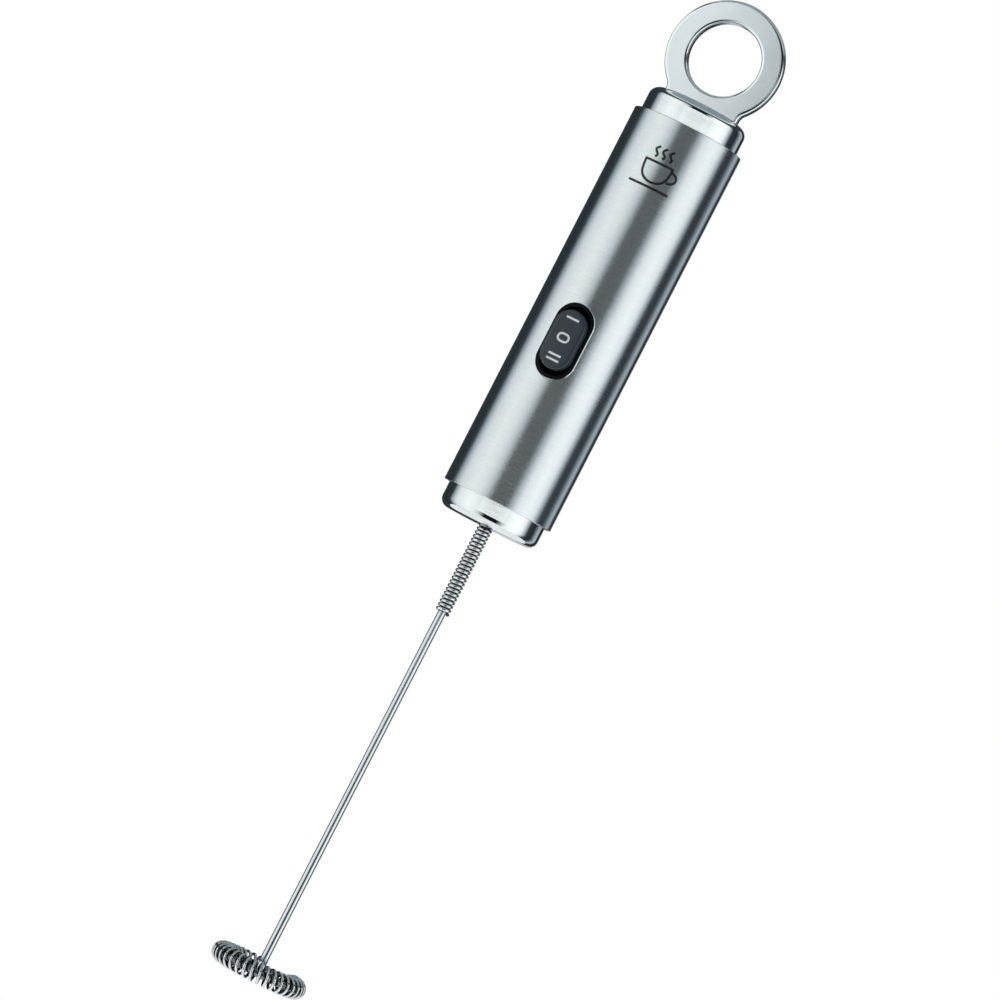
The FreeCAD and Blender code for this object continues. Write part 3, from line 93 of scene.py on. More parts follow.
RING_R = 17.0
RING_HOLE_R = 10.5
RING_HALF_THICKNESS = 2.0
RING_EDGE = 0.9
RING_DISH = 0.50  # how far the faces fall away towards the sides
TAB_HALF_WIDTH = 11.4
TAB_FILLET = 3.0
TAB_POINTS = 12

ROCKER_HALF_WIDTH = 4.6
ROCKER_STRAIGHT = 4.15
ROCKER_FACE = -18.8
ROCKER_BACK = -15.0
ROCKER_EDGE = 0.5
ROCKER_BACK_EDGE = 0.3
ROCKER_CROWN = 0.14
ROCKER_HUB_R = 2.2
ROCKER_HUB_HALF = 4.4
ROCKER_HUB_TUCK = 0.5  # how far the web runs into the button's back
PIVOT_Y = -12.0
MARK_LINE = 0.6
MARK_DEPTH = 0.25
MARK_PROUD = 0.03
MARK_HALF = 1.9  # half of a bar's length, and of the ring's
MARK_BARS = (6.3, -4.7, -6.2)  # heights over the button's middle
MARK_RING_Z = 0.5
MARK_RING_R = 1.4

SPRING_R = 1.725  # to the wire's middle
SPRING_WIRE_R = 0.475
SPRING_PITCH = 1.18
SPRING_LOW = -173.3
SHAFT_R = 1.2
SHAFT_TOP = -160.8
WHISK_Z = -284.1
WHISK_RING_R = 11.3
WHISK_BEND = 3.2
WHISK_HOOK = 2.6
WHISK_END_ANGLE = 11.0
WHISK_TURN = 74.0
COIL_R = 3.05
COIL_WIRE_R = 0.425
COIL_TURNS = 33
COIL_GAP = 39.0  # degrees of the ring without coil
COIL_CLOSING = 0.6  # of a turn, in which each end closes onto the ring
COIL_PLAY = 0.02
WIRE_STEPS = 28  # points on each turn of a coiled wire
WIRE_SHARP = 60


# ---------------------------------------------------------------- shader graphs
class Graph:
    """A short way to add shader nodes and link them."""

    def __init__(self, tree):
        self.tree = tree
        tree.nodes.clear()

    def add(self, kind, inputs=None, **settings):
        node = self.tree.nodes.new(kind)
        for key, value in settings.items():
            setattr(node, key, value)
        for key, value in (inputs or {}).items():
            socket = node.inputs[key]
            if isinstance(value, bpy.types.NodeSocket):
                self.tree.links.new(value, socket)
            else:
                socket.default_value = value
        return node

    def math(self, operation, first, second=0.0):
        return self.add("ShaderNodeMath", {0: first, 1: second}, operation=operation).outputs[0]

    def mix(self, factor, first, second):
        return self.add("ShaderNodeMix", {0: factor, 6: first, 7: second}, data_type="RGBA").outputs[2]

    def ramp(self, factor, stops):
        node = self.add("ShaderNodeValToRGB", {"Fac": factor})
        ramp = node.color_ramp
        while len(ramp.elements) < len(stops):
            ramp.elements.new(0.5)
        for element, (position, colour) in zip(ramp.elements, stops):
            element.position = position
            element.color = (*colour, 1)
        return node.outputs["Color"]

    def span(self, value, low, high):
        """A value from 0 to 1, spread over low to high."""
        return self.add("ShaderNodeMapRange", {"Value": value, "To Min": low, "To Max": high}).outputs[0]

    def place(self, scale=(1, 1, 1)):
        """Object coordinates in millimetres, stretched by scale."""
        place = self.add("ShaderNodeTexCoord").outputs["Object"]
        factors = tuple(1000 * share for share in scale)
        return self.add("ShaderNodeMapping", {"Vector": place, "Scale": factors}).outputs[0]

    def noise(self, scale=(1, 1, 1), detail=4.0, roughness=0.55):
        inputs = {"Vector": self.place(scale), "Scale": 1.0, "Detail": detail, "Roughness": roughness}
        return self.add("ShaderNodeTexNoise", inputs).outputs["Fac"]

    def bump(self, height, strength, distance):
        inputs = {"Height": height, "Strength": strength, "Distance": distance * MM}
        return self.add("ShaderNodeBump", inputs).outputs[0]

    def finish(self, shader):
        self.add("ShaderNodeOutputMaterial", {"Surface": shader.outputs[0]})


def blank(name):
    """A new material, and the graph to fill."""
    material = bpy.data.materials.new(name)
    material.use_nodes = True
    return material, Graph(material.node_tree)


def shade(colour, factor):
    """A colour made darker or brighter, up to white."""
    return tuple(min(1.0, channel * factor) for channel in colour)


# ---------------------------------------------------------------- camera
VIEW_TURN = math.radians(-14.98)  # how far the object's front is turned from the camera
VIEW_RISE = math.radians(1.945)  # the camera looks up by this
VIEW_ROLL = math.radians(27.16)
VIEW_DISTANCE = 1.440
VIEW_AIM = Vector((0, 0, -0.130))
SENSOR = 36.0
FOCAL_LENGTH = 186.5
SHIFT = (-0.0125, -0.0248)
CLIP_END = 20


def make_camera():
    """A long lens below the object's middle, rolled so that the handle leans."""
    data = bpy.data.cameras.new("camera")
    data.sensor_width = SENSOR
    data.lens = FOCAL_LENGTH
    data.shift_x, data.shift_y = SHIFT
    data.clip_end = CLIP_END
    camera = bpy.data.objects.new("camera", data)
    scene.collection.objects.link(camera)
    side = Vector((math.cos(VIEW_TURN), -math.sin(VIEW_TURN), 0))
    ahead = Vector((math.sin(VIEW_TURN), math.cos(VIEW_TURN), 0)) * math.cos(VIEW_RISE)
    ahead.z = math.sin(VIEW_RISE)
    up = side.cross(ahead)
    right = side * math.cos(VIEW_ROLL) + up * math.sin(VIEW_ROLL)
    top = up * math.cos(VIEW_ROLL) - side * math.sin(VIEW_ROLL)
    place = Matrix((right, top, -ahead)).transposed().to_4x4()
    place.translation = VIEW_AIM - ahead * VIEW_DISTANCE
    camera.matrix_world = place
    scene.camera = camera


# ---------------------------------------------------------------- studio
# Light on the walls round the object, by bearing in degrees from the camera's side.
WALLS = [
    (-180, 0.05),
    (-132, 0.035),
    (-116, 0.05),
    (-105, 0.55),
    (-93, 0.96),
    (-62, 1.20),
    (-44, 1.10),
    (-31, 0.82),
    (-16, 0.01),
    (16, 0.01),
    (26, 0.55),
    (38, 1.18),
    (60, 1.38),
    (78, 1.15),
    (88, 0.52),
    (95, 0.05),
    (113, 0.03),
    (121, 0.18),
    (130, 0.50),
    (139, 0.50),
    (144, 0.03),
    (162, 0.03),
    (170, 0.50),
    (180, 0.60),
]
DARK_TINT = (0.74, 1.0, 1.16)
LIGHT_TINT = (0.965, 1.0, 1.005)
# Heights over the whole sky, from 0 straight down to 1 straight up: (height, share) stops.
STRIPS = [(0.506, 0), (0.508, 1), (0.517, 1), (0.519, 0), (0.547, 0), (0.549, 1), (0.561, 1), (0.563, 0)]
STRIP_WIDTH = [(0.38, 0), (0.42, 1), (0.58, 1), (0.61, 0)]  # shares of a turn, the camera's side at half
STRIP_LEVEL = 1.22
LINE = [(0.70, 0), (0.73, 1)]
LINE_LEVEL = 0.05
CEILING_START = [(0.815, 0), (0.845, 1)]
CEILING = [(0.870, (0.84, 0.90, 0.93)), (0.885, (0.27, 0.33, 0.37))]  # its bright edge, then the rest
FLOOR_DROP = 0.30
FLOOR_RADIUS = 0.60
FLOOR_BACK = 0.10  # the floor's middle lies this far behind the handle, as the camera sees it
FLOOR_SIDES = 64
FLOOR_GREY = 0.5
FLOOR_GLOW = 0.85


def greys(stops):
    """Ramp stops from (position, share) pairs."""
    return [(position, (share, share, share)) for position, share in stops]


def tinted(level):
    """A light's colour: bluer where it is dark."""
    share = min(1.0, level)
    tint = [dark + (light - dark) * share for dark, light in zip(DARK_TINT, LIGHT_TINT)]
    return tuple(level * channel for channel in tint)


def make_world():
    """Panels round the object, with a ceiling over them, and plain white behind it."""
    world = bpy.data.worlds.new("studio")
    scene.world = world
    world.use_nodes = True
    graph = Graph(world.node_tree)
    way = graph.add("ShaderNodeTexCoord").outputs["Generated"]
    parts = graph.add("ShaderNodeSeparateXYZ", {0: way})
    # Bearing of a direction, counted from the way back to the camera, as a share of a full turn.
    camera_bearing = math.atan2(-math.cos(VIEW_TURN), -math.sin(VIEW_TURN))
    bearing = graph.math("ARCTAN2", parts.outputs["Y"], parts.outputs["X"])
    turned = graph.math("SUBTRACT", bearing, camera_bearing)
    share = graph.math("ADD", graph.math("DIVIDE", turned, 2 * math.pi), 0.5)
    share = graph.math("FRACT", graph.math("ADD", share, 1.0))
    walls = graph.ramp(share, [((angle + 180) / 360, tinted(level)) for angle, level in WALLS])
    height = graph.math("ADD", graph.math("MULTIPLY", parts.outputs["Z"], 0.5), 0.5)
    # Two strips of light near the camera's own height cross the dark gap between the wide panels.
    front = graph.ramp(share, greys(STRIP_WIDTH))
    strip = graph.mix(graph.ramp(height, greys(STRIPS)), (0, 0, 0, 1), front)
    lit = graph.mix(strip, walls, (*tinted(STRIP_LEVEL), 1))
    # Over the walls come a dark line and a ceiling with a bright edge.
    edged = graph.mix(graph.ramp(height, greys(LINE)), lit, (*tinted(LINE_LEVEL), 1))
    full = graph.mix(graph.ramp(height, greys(CEILING_START)), edged, graph.ramp(height, CEILING))
    surround = graph.add("ShaderNodeBackground", {"Color": full})
    plain = graph.add("ShaderNodeBackground", {"Color": (1, 1, 1, 1), "Strength": 1.0})
    seen = graph.add("ShaderNodeLightPath").outputs["Is Camera Ray"]
    both = graph.add("ShaderNodeMixShader", {0: seen, 1: surround.outputs[0], 2: plain.outputs[0]})
    graph.add("ShaderNodeOutputWorld", {"Surface": both.outputs[0]})


def make_floor():
    """A bright round table far below, which the polished undersides reflect."""
    low = cad_box[0][2] - FLOOR_DROP
    corners = []
    for index in range(FLOOR_SIDES):
        angle = 2 * math.pi * index / FLOOR_SIDES
        x = FLOOR_BACK * math.sin(VIEW_TURN) + FLOOR_RADIUS * math.cos(angle)
        y = FLOOR_BACK * math.cos(VIEW_TURN) + FLOOR_RADIUS * math.sin(angle)
        corners.append((x, y, low))
    mesh = bpy.data.meshes.new("floor")
    mesh.from_pydata(corners, [], [tuple(range(FLOOR_SIDES))])
    floor = bpy.data.objects.new("floor", mesh)
    scene.collection.objects.link(floor)
    material, graph = blank("floor_paper")
    paper = graph.add("ShaderNodeBsdfDiffuse", {"Color": (FLOOR_GREY, FLOOR_GREY, FLOOR_GREY, 1)})
    glow = graph.add("ShaderNodeEmission", {"Color": (1, 1, 1, 1), "Strength": FLOOR_GLOW})
    graph.finish(graph.add("ShaderNodeAddShader", {0: paper.outputs[0], 1: glow.outputs[0]}))
    mesh.materials.append(material)


# ---------------------------------------------------------------- materials
BAY_TOP = -22.0  # the two cells' bay
BAY_BOTTOM = -84.0
# Painted shade for the wires: where ambient occlusion finds the steel enclosed, its colour falls towards a
# near-black copy, as shade falls between the coil's turns.
PAINTED_SHADE_SAMPLES = 8
PAINTED_HOLLOW_SHADE = 0.06
PAINTED_SHADE_STOPS = [(0.50, 0), (0.92, 1)]  # how open a place is, to how little painted shade darkens its steel


def brushed_steel(name, colour, roughness=0.28, anisotropic=0.98):
    """Steel brushed round Z: reflections stay sharp round the tube and spread along it."""
    material, graph = blank(name)
    fine = graph.noise((0.16, 0.16, 9.0), 2.0, 0.7)
    broad = graph.noise((0.08, 0.08, 2.2), 3.0, 0.6)
    streaks = graph.math("ADD", graph.math("MULTIPLY", fine, 0.75), graph.math("MULTIPLY", broad, 0.25))
    base = graph.ramp(streaks, [(0.30, shade(colour, 0.91)), (0.70, shade(colour, 1.06))])
    inputs = {
        "Base Color": base,
        "Metallic": 1.0,
        "Roughness": graph.span(streaks, roughness - 0.03, roughness + 0.03),
        "Anisotropic": anisotropic,
        "Anisotropic Rotation": 0.25,
        "Tangent": graph.add("ShaderNodeTangent", direction_type="RADIAL", axis="Z").outputs[0],
        "Normal": graph.bump(streaks, 0.12, 0.02),
    }
    graph.finish(graph.add("ShaderNodeBsdfPrincipled", inputs))
    return material


def polished_metal(name, colour, roughness, grain=(0.25, 0.25, 0.25), wave=0.02, contrast=0.06, hollow=0):
    """Polished metal with faint cloudiness, a very slight waviness and, if asked, painted shade darkening
    its hollows.
    """
    material, graph = blank(name)
    cloud = graph.noise(grain, 4.0, 0.6)
    scratch = graph.noise((1.3, 1.3, 5.0), 2.0, 0.6)
    base = graph.ramp(cloud, [(0.3, shade(colour, 1 - contrast)), (0.7, shade(colour, 1 + contrast / 2))])
    if hollow:
        # Painted shade: ambient occlusion within the given reach darkens the base colour in gaps and
        # crevices.
        reach = graph.add("ShaderNodeAmbientOcclusion", {"Distance": hollow * MM}, samples=PAINTED_SHADE_SAMPLES)
        share = graph.ramp(reach.outputs["AO"], greys(PAINTED_SHADE_STOPS))
        base = graph.mix(share, (*shade(colour, PAINTED_HOLLOW_SHADE), 1), base)
    inputs = {
        "Base Color": base,
        "Metallic": 1.0,
        "Roughness": graph.span(scratch, roughness * 0.7, roughness * 1.3),
        "Normal": graph.bump(cloud, wave, 0.3),
    }
    graph.finish(graph.add("ShaderNodeBsdfPrincipled", inputs))
    return material


def moulded(name, colour, roughness, grain=3.0, depth=0.03, specular=0.5):
    """Plastic, rubber or print with a fine moulded texture."""
    material, graph = blank(name)
    broad = graph.noise((0.12, 0.12, 0.12), 3.0)
    texture = graph.noise((grain, grain, grain), 3.0, 0.6)
    base = graph.ramp(broad, [(0.3, shade(colour, 0.86)), (0.7, shade(colour, 1.12))])
    inputs = {
        "Base Color": base,
        "Roughness": graph.span(texture, roughness - 0.07, roughness + 0.07),
        "Specular IOR Level": specular,
        "Normal": graph.bump(texture, 0.25, depth),
    }
    graph.finish(graph.add("ShaderNodeBsdfPrincipled", inputs))
    return material


def cell_jacket(name):
    """A cell's printed jacket: a coloured band over a dark one."""
    material, graph = blank(name)
    height = graph.add("ShaderNodeSeparateXYZ", {0: graph.place()}).outputs["Z"]
    span = {"Value": height, "From Min": BAY_BOTTOM, "From Max": BAY_TOP}
    share = graph.add("ShaderNodeMapRange", span).outputs[0]
    cloud = graph.noise((0.4, 0.4, 0.4))
    bands = [(0.0, (0.02, 0.03, 0.05)), (0.66, (0.03, 0.04, 0.06)), (0.70, (0.45, 0.26, 0.12))]
    jacket = graph.ramp(share, bands)
    inputs = {
        "Base Color": graph.mix(graph.span(cloud, 0.0, 0.25), jacket, (0.3, 0.3, 0.3, 1)),
        "Metallic": 0.6,
        "Roughness": graph.span(cloud, 0.22, 0.36),
    }
    graph.finish(graph.add("ShaderNodeBsdfPrincipled", inputs))
    return material


def wound_copper(name):
    """Enamelled wire in fine layers."""
    material, graph = blank(name)
    wave = {"Vector": graph.place(), "Scale": 0.9, "Distortion": 1.2}
    layers = graph.add("ShaderNodeTexWave", wave, bands_direction="Z").outputs["Fac"]
    inputs = {
        "Base Color": graph.ramp(layers, [(0.0, (0.30, 0.11, 0.05)), (1.0, (0.72, 0.32, 0.16))]),
        "Metallic": 0.8,
        "Roughness": graph.span(layers, 0.28, 0.42),
        "Normal": graph.bump(layers, 0.6, 0.1),
    }
    graph.finish(graph.add("ShaderNodeBsdfPrincipled", inputs))
    return material


MATERIALS = {
    "brushed_tube": brushed_steel("brushed_tube", (0.745, 0.78, 0.79)),
    "polished_cap": polished_metal("polished_cap", (0.76, 0.785, 0.79), 0.06, (0.06, 0.06, 0.5)),
    "ring_steel": polished_metal("ring_steel", (0.78, 0.81, 0.82), 0.16, (0.10, 0.10, 0.10)),
    # The shaft, spring and coil get painted shade wherever nearby parts enclose them, darkest between the
    # coil's turns.
    "shaft_steel": polished_metal("shaft_steel", (0.68, 0.71, 0.73), 0.16, (0.8, 0.8, 0.15), hollow=5.0),
    "spring_steel": polished_metal("spring_steel", (0.72, 0.74, 0.76), 0.14, (0.5, 0.5, 0.5), hollow=2.2),
    "whisk_steel": polished_metal("whisk_steel", (0.74, 0.76, 0.77), 0.12, (0.4, 0.4, 0.4), hollow=5.0),
    "screw_steel": polished_metal("screw_steel", (0.60, 0.61, 0.60), 0.28, (0.9, 0.9, 0.9)),
    "nickel": polished_metal("nickel", (0.66, 0.63, 0.57), 0.22, (0.6, 0.6, 0.6)),
    "contact_brass": polished_metal("contact_brass", (0.72, 0.52, 0.24), 0.24, (0.5, 0.5, 0.5), 0.02, 0.15),
    "motor_zinc": brushed_steel("motor_zinc", (0.55, 0.56, 0.56), 0.40, 0.6),
    "core_steel": brushed_steel("core_steel", (0.34, 0.34, 0.35), 0.45, 0.5),
    "magnet_ferrite": moulded("magnet_ferrite", (0.07, 0.07, 0.075), 0.55),
    "carbon": moulded("carbon", (0.03, 0.03, 0.03), 0.6),
    "black_plastic": moulded("black_plastic", (0.004, 0.005, 0.007), 0.55, specular=0.12),
    "nylon": moulded("nylon", (0.72, 0.70, 0.64), 0.45),
    "seal_rubber": moulded("seal_rubber", (0.02, 0.02, 0.02), 0.6),
    "resistor_body": moulded("resistor_body", (0.60, 0.48, 0.30), 0.35, 0.8),
    "lead_red": moulded("lead_red", (0.46, 0.03, 0.02), 0.4),
    "lead_black": moulded("lead_black", (0.02, 0.02, 0.02), 0.4),
    "rocker_plastic": moulded("rocker_plastic", (0.030, 0.040, 0.050), 0.34, 4.0),
    "mark_white": moulded("mark_white", (0.82, 0.84, 0.84), 0.5, 5.0),
    "cell_jacket": cell_jacket("cell_jacket"),
    "copper_winding": wound_copper("copper_winding"),
}
RIM_STEEL = polished_metal("rim_steel", (0.86, 0.88, 0.89), 0.12, (0.5, 0.5, 0.5))
PRINT_BLACK = moulded("print_black", (0.012, 0.013, 0.015), 0.4, 5.0)


# ---------------------------------------------------------------- mesh helpers
ARC_STEPS = 14
SMALL_ARC_STEPS = 4
SMALL_ARC_R = 0.5
GUARD = 0.08  # from a rounded edge to the row of points that keeps its shading flat beyond


def make_piece(name, points, faces, slot, replaced=(), body=None, sharp=38.0, material=None):
    """A smooth-shaded piece from millimetre points, riding on its body with its slot's material."""
    mesh = bpy.data.meshes.new(name)
    mesh.from_pydata([Vector(point) * MM for point in points], [], faces)
    mesh.validate()
    mesh.shade_smooth()
    mesh.set_sharp_from_angle(angle=math.radians(sharp))
    mesh.materials.append(material or MATERIALS[slot])
    piece = bpy.data.objects.new(name, mesh)
    scene.collection.objects.link(piece)
    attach(piece, body)
    if replaced:
        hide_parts(*replaced)
    return piece


def stitch(first, second, faces, closed=True):
    """Quads between two rows of point numbers of equal length."""
    count = len(first)
    last = count if closed else count - 1
    for index in range(last):
        after = (index + 1) % count
        faces.append((first[index], first[after], second[after], second[index]))


def rounded_profile(corners, closed, support=0.07):
    """A flat profile through (r, z, fillet) corners, with arcs and a guard point beside each arc."""
    points = []
    count = len(corners)
    for index, (r, z, fillet) in enumerate(corners):
        here = Vector((r, z))
        at_end = not closed and index in (0, count - 1)
        if at_end or fillet <= 0:
            points.append(here)
            continue
        back = (Vector(corners[index - 1][:2]) - here).normalized()
        ahead = (Vector(corners[(index + 1) % count][:2]) - here).normalized()
        half_angle = back.angle(ahead) / 2
        trim = fillet / math.tan(half_angle)
        centre = here + (back + ahead).normalized() * fillet / math.sin(half_angle)
        start = here + back * trim
        end = here + ahead * trim
        steps = SMALL_ARC_STEPS if fillet < SMALL_ARC_R else ARC_STEPS
        points.append(start + back * support)
        turn = (start - centre).angle_signed(end - centre)
        for step in range(steps + 1):
            angle = (math.pi - 2 * half_angle) * step / steps
            arm = (start - centre).copy()
            arm.rotate(Matrix.Rotation(-math.copysign(angle, turn), 2))
            points.append(centre + arm)
        points.append(end + ahead * support)
    return points


def lathe(profile, closed, segments=160):
    """Points and faces of a profile turned about Z; a profile point on the axis becomes one point."""
    points = []
    faces = []
    rows = []
    for r, z in profile:
        if r < TINY:
            rows.append([len(points)])
            points.append((0, 0, z))
            continue
        rows.append(list(range(len(points), len(points) + segments)))
        for index in range(segments):
            angle = 2 * math.pi * index / segments
            points.append((r * math.cos(angle), r * math.sin(angle), z))
    pairs = list(zip(rows, rows[1:]))
    if closed:
        pairs.append((rows[-1], rows[0]))
    for first, second in pairs:
        if len(first) == 1 or len(second) == 1:
            hub = first if len(first) == 1 else second
            rim = second if len(first) == 1 else first
            for index in range(segments):
                near = rim[index]
                far = rim[(index + 1) % segments]
                faces.append((hub[0], near, far) if rim is second else (near, hub[0], far))
        else:
            stitch(first, second, faces)
    return points, faces


def wire(path, radius, sides=16):
    """Points and faces of a round wire along a path, its two ends cut square."""
    points = []
    faces = []
    rows = []
    normal = None
    for index, here in enumerate(path):
        before = path[max(index - 1, 0)]
        after = path[min(index + 1, len(path) - 1)]
        along = (after - before).normalized()
        if normal is None:
            normal = along.orthogonal().normalized()
        normal = (normal - along * normal.dot(along)).normalized()
        side = along.cross(normal)
        rows.append(list(range(len(points), len(points) + sides)))
        for step in range(sides):
            angle = 2 * math.pi * step / sides
            points.append(here + (normal * math.cos(angle) + side * math.sin(angle)) * radius)
    for first, second in zip(rows, rows[1:]):
        stitch(first, second, faces)
    faces.append(tuple(reversed(rows[0])))
    faces.append(tuple(rows[-1]))
    return points, faces


def merged(*meshes):
    """Several (points, faces) pairs as one."""
    points = []
    faces = []
    for more_points, more_faces in meshes:
        start = len(points)
        points.extend(more_points)
        faces.extend(tuple(number + start for number in face) for face in more_faces)
    return points, faces


def even(low, high, count):
    """Evenly spaced values from low to high, both included."""
    return [low + (high - low) * index / count for index in range(count + 1)]


# ---------------------------------------------------------------- handle tube
PATCH_HALF_WIDTH = 9.0  # the patch of wall round the window, with its own mesh
PATCH_HALF_HEIGHT = 14.0
PATCH_COLUMNS = 32
PATCH_ROWS = 40
OTHER_COLUMNS = 112


def window_point(x, z):
    """The window outline's point nearest to a place round it, and the way out from there."""
    middle = max(-WINDOW_STRAIGHT, min(WINDOW_STRAIGHT, z))
    out = Vector((x, z - middle)).normalized()
    if abs(z) <= WINDOW_STRAIGHT:
        out = Vector((math.copysign(1, x), 0))
    return Vector((0, middle)) + out * WINDOW_HALF_WIDTH, out


def tube_rows():
    """(radius, z) rows down the outside and back up the inside."""
    outer_top = []
    for angle in even(math.pi / 2, 0, 4):
        r = TUBE_R - TUBE_EDGE + TUBE_EDGE * math.cos(angle)
        outer_top.append((r, TUBE_TOP - TUBE_EDGE + TUBE_EDGE * math.sin(angle)))
    inner_top = [(TUBE_R + TUBE_BORE_R - r, z) for r, z in outer_top]
    guard_high = TUBE_TOP - TUBE_EDGE - GUARD
    patch_top = WINDOW_Z + PATCH_HALF_HEIGHT
    patch_bottom = WINDOW_Z - PATCH_HALF_HEIGHT
    guard_low = TUBE_BOTTOM + TUBE_EDGE + GUARD
    levels = even(guard_high, patch_top, 8)[:-1] + even(patch_top, patch_bottom, PATCH_ROWS)
    levels += even(patch_bottom, guard_low, 6)[1:]
    middle = (TUBE_TOP + TUBE_BOTTOM) / 2
    outer_low = [(r, 2 * middle - z) for r, z in reversed(outer_top)]
    inner_low = [(r, 2 * middle - z) for r, z in reversed(inner_top)]
    outer = outer_top + [(TUBE_R, z) for z in levels] + outer_low
    inner = inner_top + [(TUBE_BORE_R, z) for z in levels] + inner_low
    return outer, inner


def tube_mesh():
    """The tube with its window: its points, its faces, and the numbers of the window rim's faces."""
    patch_angle = math.asin(PATCH_HALF_WIDTH / TUBE_R)
    angles = even(-patch_angle, patch_angle, PATCH_COLUMNS)
    angles += even(patch_angle, 2 * math.pi - patch_angle, OTHER_COLUMNS)[1:-1]
    outer, inner = tube_rows()
    points = []
    faces = []

    def grid(rows):
        numbers = []
        for radius, z in rows:
            numbers.append(list(range(len(points), len(points) + len(angles))))
            points.extend((radius * math.sin(a), -radius * math.cos(a), z) for a in angles)
        return numbers

    def in_patch(rows, row, column):
        top = rows[row][1] <= WINDOW_Z + PATCH_HALF_HEIGHT + TINY
        low = rows[row + 1][1] >= WINDOW_Z - PATCH_HALF_HEIGHT - TINY
        return top and low and column < PATCH_COLUMNS

    def skin(rows, numbers, inward):
        for row in range(len(rows) - 1):
            for column in range(len(angles)):
                if in_patch(rows, row, column):
                    continue
                after = (column + 1) % len(angles)
                here = numbers[row]
                below = numbers[row + 1]
                quad = (here[column], below[column], below[after], here[after])
                faces.append(tuple(reversed(quad)) if inward else quad)

    def border(rows, numbers):
        """The patch's border, once round, as point numbers."""
        high = min(i for i, row in enumerate(rows) if abs(row[1] - WINDOW_Z - PATCH_HALF_HEIGHT) < TINY)
        low = min(i for i, row in enumerate(rows) if abs(row[1] - WINDOW_Z + PATCH_HALF_HEIGHT) < TINY)
        ring = [numbers[high][column] for column in range(PATCH_COLUMNS)]
        ring += [numbers[row][PATCH_COLUMNS] for row in range(high, low)]
        ring += [numbers[low][column] for column in range(PATCH_COLUMNS, 0, -1)]
        ring += [numbers[row][0] for row in range(low, high, -1)]
        return ring

    outer_numbers = grid(outer)
    inner_numbers = grid(inner)
    skin(outer, outer_numbers, False)
    skin(inner, inner_numbers, True)
    stitch(inner_numbers[0], outer_numbers[0], faces)
    stitch(outer_numbers[-1], inner_numbers[-1], faces)

    outer_border = border(outer, outer_numbers)
    inner_border = border(inner, inner_numbers)
    outline = [window_point(points[number][0], points[number][2] - WINDOW_Z) for number in outer_border]

    def loop(spots, radius, depths=None):
        start = len(points)
        for index, (x, z) in enumerate(spots):
            depth = depths[index] if depths else 0
            points.append((x, -math.sqrt(radius ** 2 - x ** 2) + depth, WINDOW_Z + z))
        return list(range(start, len(points)))

    def spread(edge_numbers, offsets, radius):
        """Loops from the patch's border in to the window, each spot offset out from its outline."""
        loops = []
        for share in (0.2, 0.4, 0.6, 0.8, 0.92, 0.985, 1.0):
            spots = []
            for number, (spot, out), offset in zip(edge_numbers, outline, offsets):
                far = Vector((points[number][0], points[number][2] - WINDOW_Z))
                spots.append(far.lerp(spot + out * offset, share))
            loops.append(loop(spots, radius))
        return loops

    widest = Vector(WINDOW_EDGE_SIDE)
    edges = []
    for _, out in outline:
        share = min(1, WINDOW_EDGE_SPREAD * out.dot(widest))
        edges.append(max(WINDOW_EDGE_LEAST, WINDOW_EDGE * share))
    chain = [outer_border] + spread(outer_border, edges, TUBE_R)
    rim_start = len(faces) + (len(chain) - 1) * len(outline)
    for share in (0.5, 1.0):
        spots = [spot + out * edge * (1 - share) for (spot, out), edge in zip(outline, edges)]
        chain.append(loop(spots, TUBE_R, [edge * share * WINDOW_SLOPE for edge in edges]))
    rim_end = rim_start + 2 * len(outline)
    chain.extend(reversed(spread(inner_border, [0] * len(outline), TUBE_BORE_R)))
    chain.append(inner_border)
    for first, second in zip(chain, chain[1:]):
        stitch(second, first, faces)
    return points, faces, range(rim_start, rim_end)


# ---------------------------------------------------------------- end caps
def top_cap_mesh():
    """A cup with its rim down in the tube, closed over the axis."""
    rim = TUBE_TOP - CAP_TUCK
    inner_r = CAP_R - CAP_WALL
    ceiling = CAP_TOP - CAP_WALL
    corners = [(0, CAP_TOP, 0), (CAP_R, CAP_TOP, CAP_ROUND), (CAP_R, rim, RIM_ROUND)]
    corners += [(inner_r, rim, RIM_ROUND), (inner_r, ceiling, CAP_ROUND - CAP_WALL), (0, ceiling, 0)]
    return lathe(rounded_profile(corners, False), False)


def bottom_cap_mesh():
    """A cup with its rim up in the tube and a round exit for the shaft."""
    rim = TUBE_BOTTOM + CAP_TUCK
    inner_r = CAP_R - CAP_WALL
    floor = CAP_BOTTOM + CAP_WALL
    corners = [(EXIT_R, CAP_BOTTOM, EXIT_ROUND), (EXIT_R, floor, RIM_ROUND)]
    corners += [(inner_r, floor, CAP_ROUND - CAP_WALL), (inner_r, rim, RIM_ROUND)]
    corners += [(CAP_R, rim, RIM_ROUND), (CAP_R, CAP_BOTTOM, CAP_ROUND)]
    return lathe(rounded_profile(corners, True), True)


